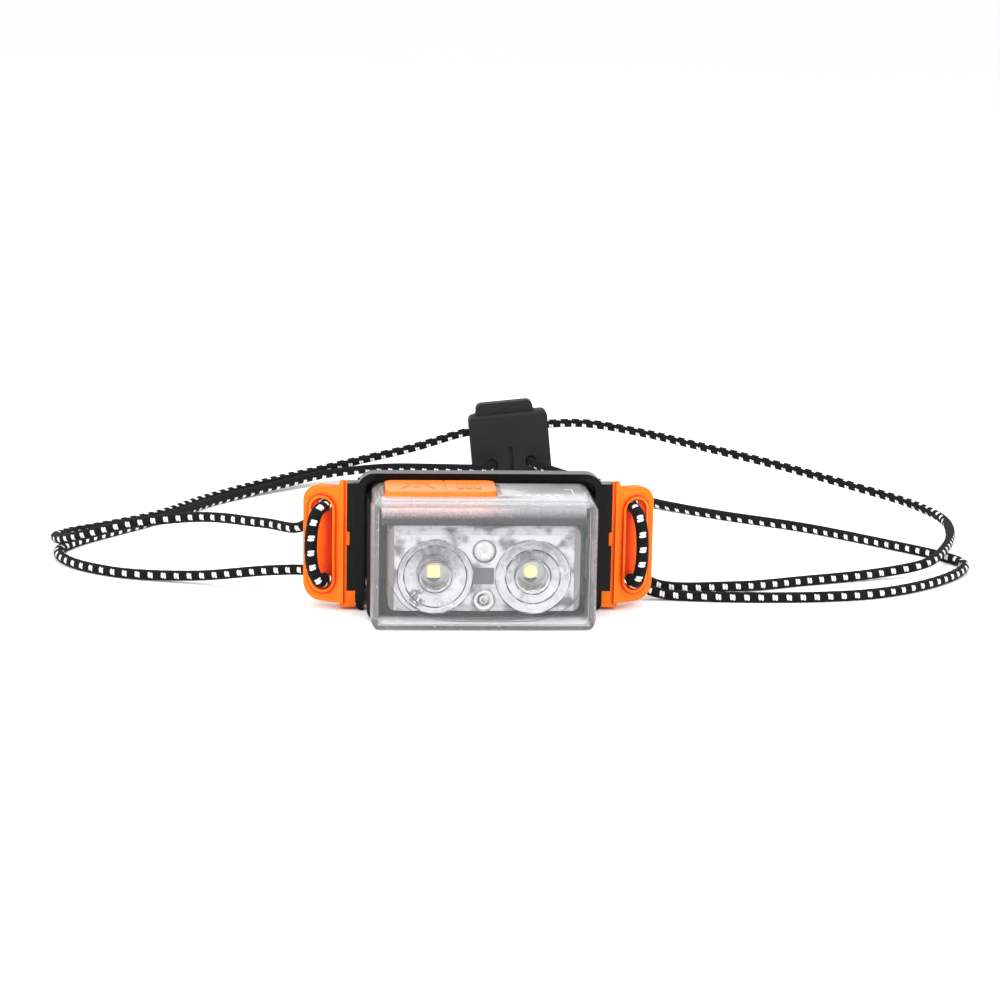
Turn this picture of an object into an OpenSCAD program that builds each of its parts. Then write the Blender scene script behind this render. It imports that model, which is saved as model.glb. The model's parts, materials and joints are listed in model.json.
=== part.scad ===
// Compact headlamp on an elastic cord: a clear-fronted lamp that tilts in a black frame,
// an orange forehead bracket, and a rear plate that carries the cord loop.
// +X is the wearer's left, +Y points to the forehead, +Z is up, sizes in millimetres.

/* [Clear front shell] */
// Height of the lamp
shell_h = 28.8; // [27:0.1:31]
// Step from the housing's side in to the shell's side
shell_inset = 0.65; // [0.4:0.05:1]
// Wall of the clear shell
shell_wall = 1.6; // [1.2:0.1:1.8]
// Corner radius of the front outline
shell_corner_r = 3; // [2:0.1:4]
// Rounding of the front edges
shell_edge_r = 1.8; // [1:0.1:2.2]
// Depth of the front box ahead of the rear housing
shell_box_d = 10; // [9.5:0.1:11]

/* [Rear housing] */
// Width of the rear housing
housing_w = 50; // [47:0.1:52]
// Wall of the rear housing
housing_wall = 1.5; // [1.2:0.1:1.8]
// Corner radius of the lower edges of the housing
housing_corner_r = 2.4; // [1.5:0.1:3]
// Depth of the grooves down the housing's left side
groove_d = 0.35; // [0.2:0.05:0.5]
// Width of the grooves down the housing's left side
groove_w = 1; // [0.6:0.1:1.4]
// Thickness of the seal between shell and housing
seal_t = 0.5; // [0.3:0.1:0.8]

/* [Frame] */
// Gap between the lamp's top and the frame's top bar
frame_gap = 0.5; // [0.4:0.1:1.2]
// Gap between the housing's side and a leg of the frame
leg_gap = 0.5; // [0.5:0.05:0.8]
// Depth of the frame, front to back
frame_d = 4.2; // [4:0.1:5]
// Distance from the frame's front to the front of the shell
lamp_reach = 19.5; // [19:0.1:20.5]
// Thickness of the frame's top bar
bar_t = 1.7; // [1.2:0.1:1.8]
// Thickness of the frame's legs
leg_t = 1.8; // [1.6:0.05:1.85]
// Outer corner radius of the frame
frame_corner_r = 4; // [3:0.1:5]
// Radius at the foot of each leg
leg_foot_r = 1.5; // [1:0.1:1.6]
// Width of the side flange that sits in the bracket
flange_w = 2; // [1.6:0.1:2.2]
// Height of the side flange
flange_h = 24.2; // [22:0.1:24.4]
// Height of the flange's lower edge
flange_z = 4.5; // [4.4:0.1:5]
// Step between the frame's front and the flange
flange_step = 0.3; // [0.2:0.1:0.6]

/* [Bracket] */
// Overall width, ear to ear
bracket_w = 78; // [76:0.1:80]
// Thickness of the bracket's back
back_t = 2.3; // [2:0.1:3]
// Width of the step beside the flange
step_w = 1.55; // [1.4:0.05:1.7]
// Height of the step beside the flange
step_h = 28.5; // [27:0.1:28.8]
// Height of the step's lower edge
step_z = 0.8; // [0.6:0.1:1]
// Backward sweep of the ears
ear_sweep = 24; // [20:1:27]
// Thickness of an ear
ear_t = 2.6; // [2.2:0.1:2.8]
// Height of an ear at the step
ear_h = 26.2; // [25.5:0.1:26.6]
// Height of an ear's lower edge at the step
ear_z = 1.6; // [1:0.1:2]
// Rise of the lower edge towards the ear's end
ear_rise = 0.3; // [0:0.1:1]
// Fillet between an ear's upper edge and the step
ear_fillet_r = 1.6; // [1:0.1:2]
// Radius of an ear's upper corner
ear_corner_r = 3.6; // [2:0.1:4]
// Radius of an ear's lower corner
ear_foot_r = 4.2; // [3:0.1:5]
// Diameter of the cord holes
cord_hole_d = 2.9; // [2.8:0.1:3.2]
// Distance of the cord holes from the middle plane
cord_hole_x = 34.2; // [34.1:0.05:34.3]
// Height of the lower cord hole
cord_hole_z = 6.5; // [6.4:0.05:6.6]
// Spacing of the two cord holes in an ear
cord_hole_pitch = 16.8; // [16.7:0.05:16.9]
// Width of the dish around the cord holes
dish_w = 5.2; // [4.6:0.1:5.6]
// Length of the dish around the cord holes
dish_l = 20.8; // [20.4:0.1:21.6]
// Depth of the dish at its outer edge
dish_depth = 0.3; // [0.2:0.05:0.6]
// Slope of the dish floor, deeper towards the lamp
dish_slope = 13; // [8:1:15]
// Width of the raised rim round the dish
rim_w = 0.6; // [0.4:0.1:0.8]
// Height of the raised rim round the dish
rim_h = 0.3; // [0.15:0.05:0.4]
// Height of the tab that keys the flange
tab_h = 3; // [2.4:0.1:3.4]
// Reach of the tab into the flange
tab_reach = 0.6; // [0.4:0.1:0.8]

/* [Forehead pad] */
// Width of the pad
pad_w = 52; // [46:0.5:56]
// Height of the pad
pad_h = 20; // [16:0.5:20]
// Thickness of the pad
pad_t = 3; // [2.5:0.1:4]
// Corner radius of the pad
pad_corner_r = 4; // [2:0.5:6]

/* [Tilt hinge] */
// Diameter of the hinge pins
pin_d = 2; // [1.6:0.1:2.2]
// Height of the hinge axis
hinge_z = 3.2; // [3:0.1:3.4]
// Length of each hinge pin
pin_l = 4.4; // [4:0.1:4.5]
// Outer diameter of the friction washers
washer_d = 4.8; // [4:0.1:5]
// Thickness of the friction washers
washer_t = 0.4; // [0.3:0.05:0.4]

/* [Keys] */
// Width of the pair of keys
keys_w = 24; // [22:0.1:24.4]
// Gap between the keys' back and the frame
key_frame_gap = 0.6; // [0.4:0.1:2]
// Distance from the left end of the keys to the shell's side
keys_inset = 3.15; // [3:0.05:4]
// Distance from the keys' front to the shell's front
keys_setback = 6.3; // [6:0.1:6.6]
// Height of the keys above the shell
key_proud = 0.9; // [0.6:0.1:1.2]
// Corner radius of the keys
key_corner_r = 2; // [1:0.1:2.4]
// Width of the left key
left_key_w = 12.8; // [11:0.1:13]
// Depth of the recess round the keys
key_recess = 0.3; // [0.2:0.05:0.5]
// Travel of a key
key_travel = 0.4; // [0.2:0.05:0.4]
// Gap between the two keys
key_gap = 0.4; // [0.3:0.1:0.8]

/* [Optics] */
// Gap between the tray's side and the shell's inside
tray_side_gap = 2.15; // [1.9:0.05:2.5]
// Drop from the lamp's top to the tray's top
tray_drop = 6.2; // [6:0.1:6.6]
// Height of the tray's lower edge
tray_z = 4.6; // [4.2:0.1:5]
// Depth of the reflector tray
tray_d = 8.9; // [8.6:0.1:9.2]
// Wall and floor of the tray
tray_wall = 1.2; // [1:0.1:1.4]
// Diameter of the two main lenses
lens_d = 16.4; // [15.6:0.1:16.4]
// Distance of each main lens from the middle plane
lens_x = 10.5; // [10.4:0.1:10.7]
// Drop of the main lenses below the middle of the space under the tray's top
lens_drop = 0.1; // [0:0.05:0.3]
// Diameter of the small lenses
small_lens_d = 5.1; // [4.6:0.1:5.3]
// Spacing of the two small lenses
small_lens_pitch = 10.8; // [10.4:0.1:11]
// Side of the main light-emitting chips
led_side = 3.4; // [3:0.1:3.8]
// Width of the sensor window
sensor_w = 4.2; // [3:0.1:4.2]
// Height of the sensor window
sensor_h = 3.6; // [3:0.1:3.8]

/* [Electronics] */
// Thickness of the boards behind the lenses
board_t = 1; // [0.8:0.1:1.2]
// Thickness of the board under the keys
key_board_t = 1.6; // [1:0.1:1.6]
// Length of the spacers between the two upright boards
spacer_l = 1.2; // [1:0.1:1.5]
// Gap between the battery's left end and the housing's inside
battery_side_gap = 5.1; // [4:0.1:8]
// Gap between the battery and the charging socket
battery_socket_gap = 0.4; // [0.3:0.1:2]
// Gap between the battery's top and the board under the keys
battery_top_gap = 0.9; // [0.5:0.1:2]
// Gap between the battery's back and the housing's inside
battery_back_gap = 1.8; // [1:0.1:2.5]
// Thickness of the foam tape behind the battery
tape_t = 1.2; // [1:0.1:1.4]
// Height of the charging port's middle
port_z = 13.2; // [13:0.1:13.6]
// Length of the charging port's mouth
port_l = 8.4; // [8.2:0.1:8.6]
// Width of the charging port's mouth
port_w = 2.6; // [2.4:0.1:2.8]

/* [Rear plate] */
// Width of the rear plate
plate_w = 22; // [21.9:0.05:22.1]
// Height of the plate's body
plate_h = 17.8; // [17:0.1:18]
// Thickness of the rear plate
plate_t = 5; // [4.8:0.05:5.2]
// Width of the lip on the plate
lip_w = 15.8; // [14:0.1:17]
// Height of the lip on the plate
lip_h = 3; // [2.6:0.1:3.6]
// Setback of the lip behind the plate's front
lip_set = 1.2; // [0.8:0.1:2]
// Rounding of the plate's upper front edge
plate_edge_r = 1; // [0.5:0.1:1.2]
// Width of the slit in the plate
slit_w = 1; // [0.6:0.1:1.4]
// Lean of the plate, its right side up
plate_lean = 6; // [5.8:0.05:6.2]
// Corner radius of the plate
plate_corner_r = 1.6; // [1:0.1:2]
// Diameter of the plate's cord holes
plate_hole_d = 3; // [2.9:0.05:3.2]
// Spacing of the plate's two lower holes
plate_hole_pitch = 10.8; // [10.7:0.05:10.9]
// Drop from the plate's tunnel to its lower holes
plate_hole_drop = 9.5; // [9.4:0.05:9.6]

/* [Cord] */
// Diameter of the elastic cord
cord_d = 2.4; // [2:0.1:2.4]
// Diameter of the knots at the cord's ends
knot_d = 5.2; // [4.6:0.1:5.6]

/* [Hidden] */
$fn = 48;
eps = 0.01;
// Clearances
slip = 0.05;
loose = 0.25;
hinge_slip = 0.05;
// Sizes of what fits together
shell_w = housing_w - 2 * shell_inset;
frame_w = housing_w + 2 * (leg_gap + leg_t);
frame_h = shell_h + frame_gap + bar_t;
key_d = lamp_reach - keys_setback - key_frame_gap;
tray_w = shell_w - 2 * (shell_wall + tray_side_gap);
tray_h = shell_h - tray_drop - tray_z;
// Places along Y, from the front face to the pad
total_d = lamp_reach + frame_d + back_t + pad_t;
front_y = -total_d / 2;
frame_y = front_y + lamp_reach;
back_y = frame_y + frame_d;
pad_y = back_y + back_t;
seam_y = front_y + shell_box_d;
housing_gap = 0.5;
housing_back = back_y - housing_gap;
hinge_y = frame_y + frame_d / 2;
// Places along X
frame_x = frame_w / 2;
leg_in_x = frame_x - leg_t;
flange_x = frame_x + flange_w;
step_in_x = flange_x + slip;
step_x = step_in_x + step_w;
ear_reach = bracket_w / 2 - step_x;
housing_x = housing_w / 2;
shell_x = shell_w / 2;
// Heights
shell_roof_z = shell_h - shell_wall;
housing_h = shell_roof_z - seal_t;
notch_z = flange_z + flange_h / 2 - 0.3;
notch_h = tab_h + 2 * slip;
ledge_h = flange_z - slip - step_z;
back_drop = 0.8;
back_top_z = flange_z + flange_h - back_drop;
step_brow = 0.8;
step_fall = 14;
back_cut_h = 6;
back_cut_x = leg_in_x + 0.1;
pad_z = back_cut_h + 0.8;
// Ear places
ear_len = ear_reach / cos(ear_sweep);
ear_front_y = frame_y + flange_step;
ear_block = 2 * ear_len + 2 * ear_corner_r;
dish_x = 4.3;
dish_z = cord_hole_z + cord_hole_pitch / 2 - 0.2;
// Hinge places
boss_d = pin_d + 2.8;
boss_l = 2.6;
pin_in_x = leg_in_x + leg_t - 0.4 - pin_l;
// Places of the grooves down the housing's left side
groove_y = [seam_y + 2, seam_y + 4.4];
// Key places
key_wall_gap = 0.25;
keys_left_x = -shell_x + keys_inset;
key_recess_w = 1.2;
keys_right_x = keys_left_x + keys_w;
left_key_end = keys_left_x + left_key_w;
right_key_start = left_key_end + key_gap;
key_front_y = front_y + keys_setback;
key_flange = 0.6;
key_flange_t = 0.8;
key_top_z = shell_h + key_proud;
key_flange_gap = 0.15;
key_flange_z = shell_roof_z - key_flange_gap - key_flange_t;
key_stem_d = 3;
key_stem_l = 0.4;
switch_gap = 0.05;
switch_top_z = key_flange_z - key_stem_l - key_travel - switch_gap;
switch_side = 4.2;
plunger_d = 2.2;
// Optics places
tray_y = front_y + shell_wall;
tray_back_y = tray_y + tray_d;
tray_floor_y = tray_back_y - tray_wall;
tray_top_z = tray_z + tray_h;
tray_corner_r = 1.6;
optics_z = (shell_wall + tray_top_z) / 2;
lens_z = optics_z - lens_drop;
lens_front_y = tray_y + 0.3;
lens_l = tray_floor_y - lens_front_y;
lens_rear_d = lens_d / 2;
lens_bore_d = 7;
lens_rim_t = 1.2;
led_h = 0.9;
led_hole_d = 6.2;
small_led_side = 1.6;
small_led_h = 0.6;
small_lens_rear_d = 3.4;
small_led_hole_d = 2.6;
sensor_t = 1.2;
sensor_z = optics_z + lens_drop;
upper_lens_z = sensor_z + small_lens_pitch / 2;
lower_lens_z = sensor_z - small_lens_pitch / 2;
sensor_duct_d = 1.6;
// Electronics places
led_board_y = tray_back_y;
main_board_y = led_board_y + board_t + spacer_l;
main_board_back = main_board_y + board_t;
battery_y = main_board_back + tape_t;
battery_t = housing_back - housing_wall - battery_back_gap - battery_y;
battery_z = tray_z - 0.4;
battery_h = tray_top_z - battery_top_gap - battery_z;
battery_x = battery_side_gap + housing_wall - housing_x;
battery_r = 1.2;
tape_margin_x = 5;
tape_margin_z = 3;
screw_x = tray_w / 2 - 3.2;
screw_z = tray_h / 2 - 2.4;
screw_d = 1.4;
screw_head_d = 2.6;
screw_head_t = 0.8;
screw_bite = 3;
spacer_d = 2.8;
board_margin = 0.6;
key_board_z = tray_top_z;
key_board_top = key_board_z + key_board_t;
socket_w = port_w + 0.7;
socket_h = port_l + 0.6;
socket_l = 6.4;
socket_x = housing_x - housing_wall - 0.1;
battery_w = socket_x - socket_l - battery_socket_gap - battery_x;
port_y = main_board_back + socket_w / 2;
port_hole_gap = 0.5;
cover_t = 0.95;
cover_sink = 0.65;
cover_w = 6;
cover_h = 13;
cover_front_y = port_y - 2.9;
cover_hinge_x = housing_x + 0.1;
cover_hinge_y = cover_front_y + 0.2;
plug_reach = 0.6;
gauge_pitch = 2.1;
gauge_x = 7.6;
gauge_setback = 7.1;
gauge_y = front_y + gauge_setback;
gauge_n = 5;
mark_w = 1;
mark_d = 0.5;
gauge_bar_h = 1.2;
gauge_led_h = 0.6;
// Rear plate places
plate_x = 16.6;
plate_y = 155;
plate_z = 14.5;
plate_bottom = -13.3;
plate_top = plate_bottom + plate_h;
lip_x = -0.7;
lip_fillet_r = 1;
slit_d = 0.8;
slit_top = -5;
slit_l = 6.5;
knot_gap = 0.5;

// Cord route, from the knot at the plate's lower left hole round to the lower right one
left_lower_route = [
    [12.2, 160.5, 4.5], [12.2, 154, 4.5], [9.4, 148.8, 4.6], [-3, 148, 4.8], [-18, 150, 4.4],
    [-34, 147.4, 3.1], [-46, 138.5, 2], [-63, 120, 1.2], [-71, 105.5, 1.2], [-79, 92, 1.2],
    [-88, 79.5, 1.2], [-94.8, 69, 1.2], [-98, 58.5, 1.2], [-93.5, 46.5, 1.2], [-82, 36.5, 1.2],
    [-64, 30, 2], [-47, 22.6, 5], [-38, 17, 6.4], [-34.6, 12.8, 6.5], [-34.2, 9.8, 6.5]
];
left_ear_route = [
    [-34.2, 6.2, 6.5], [-35.6, 1.8, 7.4], [-37, 0.7, 11], [-37, 0.7, 19.8],
    [-35.8, 2.2, 23.3], [-34.2, 6.2, 23.3], [-34.2, 9.8, 23.3]
];
left_upper_route = [
    [-35.2, 13.4, 21.2], [-39.2, 16.2, 16.6], [-48, 27, 15.1], [-63, 39.5, 13.8], [-80, 45.5, 10.8],
    [-90, 50.2, 7.4], [-97, 58, 4.4], [-99.6, 67, 3], [-97.4, 76, 2.1], [-91, 85, 1.5],
    [-77.5, 101, 1.2], [-65.5, 121.5, 1.5], [-48, 140.4, 2.7], [-36.5, 149.2, 3.8],
    [-26, 152.8, 5.7], [-9.5, 154.5, 9.4], [5.4, 157.5, 13.3], [16.6, 157.5, 14.5]
];
right_upper_route = [
    [27.8, 157.5, 15.7], [38, 158.2, 15.8], [53, 152.6, 14.3], [70, 140.6, 12.2],
    [88, 129.2, 9.6], [106, 115.5, 6.6], [118, 103, 4.8], [123.3, 87.5, 4], [121.8, 71, 3.8],
    [116, 52.5, 3.8], [108, 39.2, 3], [96, 35.5, 1.6], [78, 29.6, 1.2], [60, 22.5, 1.5],
    [40.5, 19.2, 3], [36.4, 18, 7.4], [34.2, 13.6, 20.6],
    [34.2, 9.8, 23.3]
];
right_ear_route = [
    [34.2, 6.2, 23.3], [34.9, 2, 22.6], [35.6, 0.7, 19], [35.6, 0.7, 11],
    [34.8, 2.2, 7.2], [34.2, 6.2, 6.5], [34.2, 9.8, 6.5]
];
right_lower_route = [
    [34.6, 13, 5.8], [36.8, 15.2, 3.6], [41.5, 15.4, 1.6], [52, 13.8, 1.2], [63, 13, 1.2],
    [78, 13.6, 1.2], [92, 17, 1.2], [106, 26.3, 1.2], [116.6, 39, 1.2], [119.6, 48, 1.2],
    [116, 56, 1.2], [104, 71, 1.2], [88, 88.5, 1.2], [69, 103.3, 1.2], [51, 119.5, 1.7],
    [33, 139.5, 4.2], [24.6, 149.2, 5.4], [23, 154, 5.6], [23, 160.5, 5.6]
];
cord_route = concat(
    left_lower_route, left_ear_route, left_upper_route,
    right_upper_route, right_ear_route, right_lower_route
);
// Index of the last point of each stretch
end_left_lower = len(left_lower_route) - 1;
end_left_ear = end_left_lower + len(left_ear_route);
end_left_upper = end_left_ear + len(left_upper_route);
end_right_upper = end_left_upper + len(right_upper_route);
end_right_ear = end_right_upper + len(right_ear_route);
end_right_lower = end_right_ear + len(right_lower_route);
cord_sides = 8;

// Colours
orange = [0.98, 0.42, 0.06];
black_plastic = [0.12, 0.12, 0.13];
smoke_clear = [0.78, 0.80, 0.82, 0.45];
board_green = [0.08, 0.22, 0.16];
steel = [0.75, 0.76, 0.78];

// Shared shapes

// Rectangle with round corners, its middle at the origin
module round_rect(w, h, r) {
    square([w, h - 2 * r], center = true);
    square([w - 2 * r, h], center = true);
    for (x = [-1, 1], y = [-1, 1])
        translate([x * (w / 2 - r), y * (h / 2 - r)])
            circle(r);
}

// Upright outline in the XZ plane, extruded along Y from y0 to y1
module upright(y0, y1) {
    translate([0, y1, 0])
        rotate([90, 0, 0])
            linear_extrude(y1 - y0)
                children();
}

// Box from one corner to the opposite one
module block(a, b) {
    translate(a)
        cube(b - a);
}

// Cylinder along Y from y0 to y1
module rod_y(x, z, d, y0, y1) {
    translate([x, y1, z])
        rotate([90, 0, 0])
            cylinder(d = d, h = y1 - y0);
}

// Cylinder along X from x0 to x1
module rod_x(y, z, d, x0, x1) {
    translate([x0, y, z])
        rotate([0, 90, 0])
            cylinder(d = d, h = x1 - x0);
}

module both_sides() {
    children();
    mirror([1, 0, 0])
        children();
}

// Cord rings

function unit(v) = v / norm(v);

// Direction of the cord at point i
function cord_dir(i) =
    i == 0 ? unit(cord_route[1] - cord_route[0])
    : i == end_right_lower ? unit(cord_route[i] - cord_route[i - 1])
    : unit(unit(cord_route[i] - cord_route[i - 1]) + unit(cord_route[i + 1] - cord_route[i]));

// Side vectors of the rings, each carried over from the one before without twist
function cord_sides_from(i, side) =
    let (d = cord_dir(i), s = unit(side - (side * d) * d))
    i == end_right_lower ? [s] : concat([s], cord_sides_from(i + 1, s));
cord_side = cord_sides_from(0, [0, 0, 1]);

// Ring of points round the cord at point i
function cord_ring(i) =
    let (d = cord_dir(i), s = cord_side[i], t = cross(d, s))
    [for (k = [0 : cord_sides - 1])
        let (a = 360 * (k + 0.5) / cord_sides)
        cord_route[i] + cord_d / 2 * (cos(a) * s + sin(a) * t)];

// Tube along the route from point a to point b
module cord_tube(a, b) {
    rings = [for (i = [a : b]) cord_ring(i)];
    n = cord_sides;
    last = (b - a) * n;
    sides = [for (i = [0 : b - a - 1], k = [0 : n - 1])
        let (p = i * n + k, q = i * n + (k + 1) % n)
        each [[p, p + n, q], [q, p + n, q + n]]];
    start_cap = [for (k = [1 : n - 2]) [0, k, k + 1]];
    end_cap = [for (k = [1 : n - 2]) [last, last + k + 1, last + k]];
    polyhedron([for (r = rings) each r], concat(sides, start_cap, end_cap));
}

// Bracket and frame

// Outline of one ear, its inner edge at x = 0, with a lower edge that rises outward
module ear_outline() {
    top = ear_z + ear_h;
    slope = atan2(ear_rise, ear_len);
    foot_x = ear_len - ear_foot_r;
    foot_z = ear_z + foot_x * tan(slope) + ear_foot_r / cos(slope);
    foot_end = [foot_x + ear_foot_r * sin(slope), foot_z - ear_foot_r * cos(slope)];
    difference() {
        translate([ear_len - ear_block / 2, ear_z + ear_h / 2])
            round_rect(ear_block, ear_h, ear_corner_r);
        polygon([[-ear_block, ear_z], [0, ear_z], [ear_len + 1, ear_z + (ear_len + 1) * tan(slope)],
            [ear_len + 1, ear_z - 1], [-ear_block, ear_z - 1]]);
        difference() {
            polygon([foot_end, [ear_len + 1, foot_end[1] - 1], [ear_len + 1, foot_z], [foot_x, foot_z]]);
            translate([foot_x, foot_z])
                circle(ear_foot_r);
        }
        translate([-ear_block - 1, 0])
            square([ear_block + 1 - ear_t, top + 1]);
    }
    difference() {
        translate([-ear_t, top - eps])
            square([ear_t + ear_fillet_r, ear_fillet_r]);
        translate([ear_fillet_r, top + ear_fillet_r])
            circle(ear_fillet_r);
    }
}

// Stadium in the ear's plane, wider all round by grow, from y0 to y1
module dish_form(grow, y0, y1) {
    translate([dish_x, 0, dish_z])
        upright(y0, y1)
            round_rect(dish_w + 2 * grow, dish_l + 2 * grow, dish_w / 2 + grow - eps);
}

// One ear as a flat plate with its dish and the rim round it
module ear_plate() {
    difference() {
        union() {
            upright(0, ear_t)
                ear_outline();
            dish_form(rim_w, -rim_h, ear_t / 2);
        }
        intersection() {
            dish_form(0, -1, ear_t);
            translate([dish_x + dish_w / 2, dish_depth, 0])
                rotate([0, 0, -dish_slope])
                    block([-2 * dish_w, -2 * ear_t, 0], [dish_w, 0, ear_z + ear_h]);
        }
    }
}

module right_ear() {
    difference() {
        translate([step_x, ear_front_y, 0])
            rotate([0, 0, ear_sweep])
                ear_plate();
        for (z = [cord_hole_z, cord_hole_z + cord_hole_pitch])
            rod_y(cord_hole_x, z, cord_hole_d, frame_y - 5, pad_y + 5);
        block([0, frame_y - 5, 0], [step_x - step_w / 2, pad_y + 5, frame_h]);
    }
}

// Wall beside the flange, with its tab and the ledge below the flange
module right_step() {
    block([step_in_x, ear_front_y, step_z], [step_x, pad_y, step_z + step_h]);
    block([step_in_x - tab_reach, ear_front_y, notch_z - tab_h / 2],
        [step_x, back_y + eps, notch_z + tab_h / 2]);
    block([frame_x + 3 * slip, ear_front_y, step_z], [step_x, back_y + eps, step_z + ledge_h]);
}

// Fall of the wall's top towards the back
module step_fall_cut() {
    translate([0, ear_front_y + step_brow, step_z + step_h])
        rotate([-step_fall, 0, 0])
            block([step_in_x - 1, 0, 0], [step_x + ear_reach, 2 * (pad_y - frame_y), 3]);
}

module bracket_back() {
    difference() {
        block([-step_x, back_y, step_z], [step_x, pad_y, back_top_z]);
        block([-back_cut_x, back_y - 1, 0], [back_cut_x, pad_y + 1, back_cut_h]);
    }
}

module bracket() {
    color(orange) {
        bracket_back();
        both_sides()
            difference() {
                union() {
                    right_step();
                    right_ear();
                }
                step_fall_cut();
            }
    }
}

// Inverted U, seen from the front
module frame_outline() {
    difference() {
        union() {
            translate([0, frame_h / 2])
                round_rect(frame_w, frame_h, leg_foot_r);
            translate([0, frame_h / 2 + leg_foot_r])
                square([frame_w, frame_h - 4 * leg_foot_r], center = true);
        }
        translate([-frame_x - 1, frame_h - frame_corner_r])
            square([frame_w + 2, frame_corner_r + 1]);
        translate([-leg_in_x, -1])
            square([2 * leg_in_x, frame_h - bar_t + 1]);
    }
    difference() {
        translate([0, frame_h - 2 * frame_corner_r])
            round_rect(frame_w, 4 * frame_corner_r, frame_corner_r);
        translate([-frame_x - 1, frame_h - 5 * frame_corner_r])
            square([frame_w + 2, 4 * frame_corner_r]);
        translate([-leg_in_x, frame_h - 5 * frame_corner_r])
            square([2 * leg_in_x, 5 * frame_corner_r - bar_t - frame_corner_r]);
        translate([0, frame_h - bar_t - 2 * frame_corner_r])
            round_rect(2 * leg_in_x, 4 * frame_corner_r, frame_corner_r - bar_t);
    }
}

module right_flange() {
    difference() {
        block([frame_x - leg_t / 2, ear_front_y, flange_z], [flange_x, back_y, flange_z + flange_h]);
        block([flange_x - tab_reach - slip, ear_front_y - 1, notch_z - notch_h / 2],
            [flange_x + 1, back_y + 1, notch_z + notch_h / 2]);
    }
}

module frame() {
    color(black_plastic)
        difference() {
            union() {
                upright(frame_y, back_y)
                    frame_outline();
                both_sides()
                    right_flange();
            }
            rod_x(hinge_y, hinge_z, pin_d + 2 * hinge_slip, -frame_x - 1, frame_x + 1);
        }
}

module forehead_pad() {
    color([0.16, 0.16, 0.17])
        translate([0, 0, pad_z + pad_h / 2])
            upright(pad_y, pad_y + pad_t)
                round_rect(pad_w, pad_h, pad_corner_r);
}

// Rear plate, in its own upright frame with the tunnel through the origin

module at_plate() {
    translate([plate_x, plate_y, plate_z])
        rotate([0, -plate_lean, 0])
            children();
}

module lip_outline() {
    translate([lip_x, plate_top + lip_h / 2 - plate_corner_r])
        round_rect(lip_w, lip_h + 2 * plate_corner_r, plate_corner_r);
    for (s = [-1, 1])
        translate([lip_x + s * (lip_w / 2 + lip_fillet_r / 2 - eps), plate_top + lip_fillet_r / 2 - eps])
            difference() {
                square(lip_fillet_r, center = true);
                translate([s * lip_fillet_r / 2, lip_fillet_r / 2])
                    circle(lip_fillet_r);
            }
}

// Plate's body, its upper front edge round
module plate_body() {
    difference() {
        translate([0, 0, plate_bottom + plate_h / 2])
            upright(0, plate_t)
                round_rect(plate_w, plate_h, plate_corner_r);
        difference() {
            block([-plate_w, -1, plate_top - plate_edge_r], [plate_w, plate_edge_r, plate_top + 1]);
            rod_x(plate_edge_r, plate_top - plate_edge_r, 2 * plate_edge_r, -plate_w - 1, plate_w + 1);
        }
    }
}

module rear_plate() {
    color(black_plastic)
        at_plate()
            difference() {
                union() {
                    plate_body();
                    upright(lip_set, plate_t)
                        lip_outline();
                }
                rod_x(plate_t / 2, 0, plate_hole_d, -plate_w, plate_w);
                for (x = [-1, 1])
                    rod_y(x * plate_hole_pitch / 2, -plate_hole_drop, plate_hole_d, -1, plate_t + 1);
                block([-slit_w / 2, -1, slit_top - slit_l], [slit_w / 2, slit_d, slit_top]);
            }
}

module cord_knots() {
    color([0.1, 0.1, 0.1])
        for (p = [left_lower_route[0], cord_route[end_right_lower]])
            translate([p[0], plate_y + plate_t + knot_gap + knot_d / 2, p[2]])
                rotate([90, 0, 0])
                    rotate_extrude()
                        intersection() {
                            circle(d = knot_d);
                            translate([0, -knot_d])
                                square([knot_d, 2 * knot_d]);
                        }
}

// Cord stretches

module left_lower_cord() {
    color([0.1, 0.1, 0.1])
        cord_tube(0, end_left_lower);
}

module left_ear_cord() {
    color([0.1, 0.1, 0.1])
        cord_tube(end_left_lower, end_left_ear);
}

module left_upper_cord() {
    color([0.1, 0.1, 0.1])
        cord_tube(end_left_ear, end_left_upper);
}

module right_upper_cord() {
    color([0.1, 0.1, 0.1])
        cord_tube(end_left_upper, end_right_upper);
}

module right_ear_cord() {
    color([0.1, 0.1, 0.1])
        cord_tube(end_right_upper, end_right_ear);
}

module right_lower_cord() {
    color([0.1, 0.1, 0.1])
        cord_tube(end_right_ear, end_right_lower);
}

// Lamp casing

// Outline of a casing seen from the front, square at the top
module casing_outline(w, h, r) {
    translate([0, h / 2])
        round_rect(w, h, r);
}

module housing_bosses() {
    both_sides()
        rod_x(hinge_y, hinge_z, boss_d, housing_x - boss_l, housing_x - eps);
}

module port_opening() {
    half_w = port_w / 2 + port_hole_gap;
    half_l = port_l / 2 + port_hole_gap;
    block([housing_x - housing_wall - 1, port_y - half_w, port_z - half_l],
        [housing_x + 1, port_y + half_w, port_z + half_l]);
}

module cover_recess() {
    block([housing_x - cover_sink - 0.1, cover_front_y - 0.9, port_z - cover_h / 2 - loose],
        [housing_x + 1, cover_front_y + cover_w + loose, port_z + cover_h / 2 + loose]);
}

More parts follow.
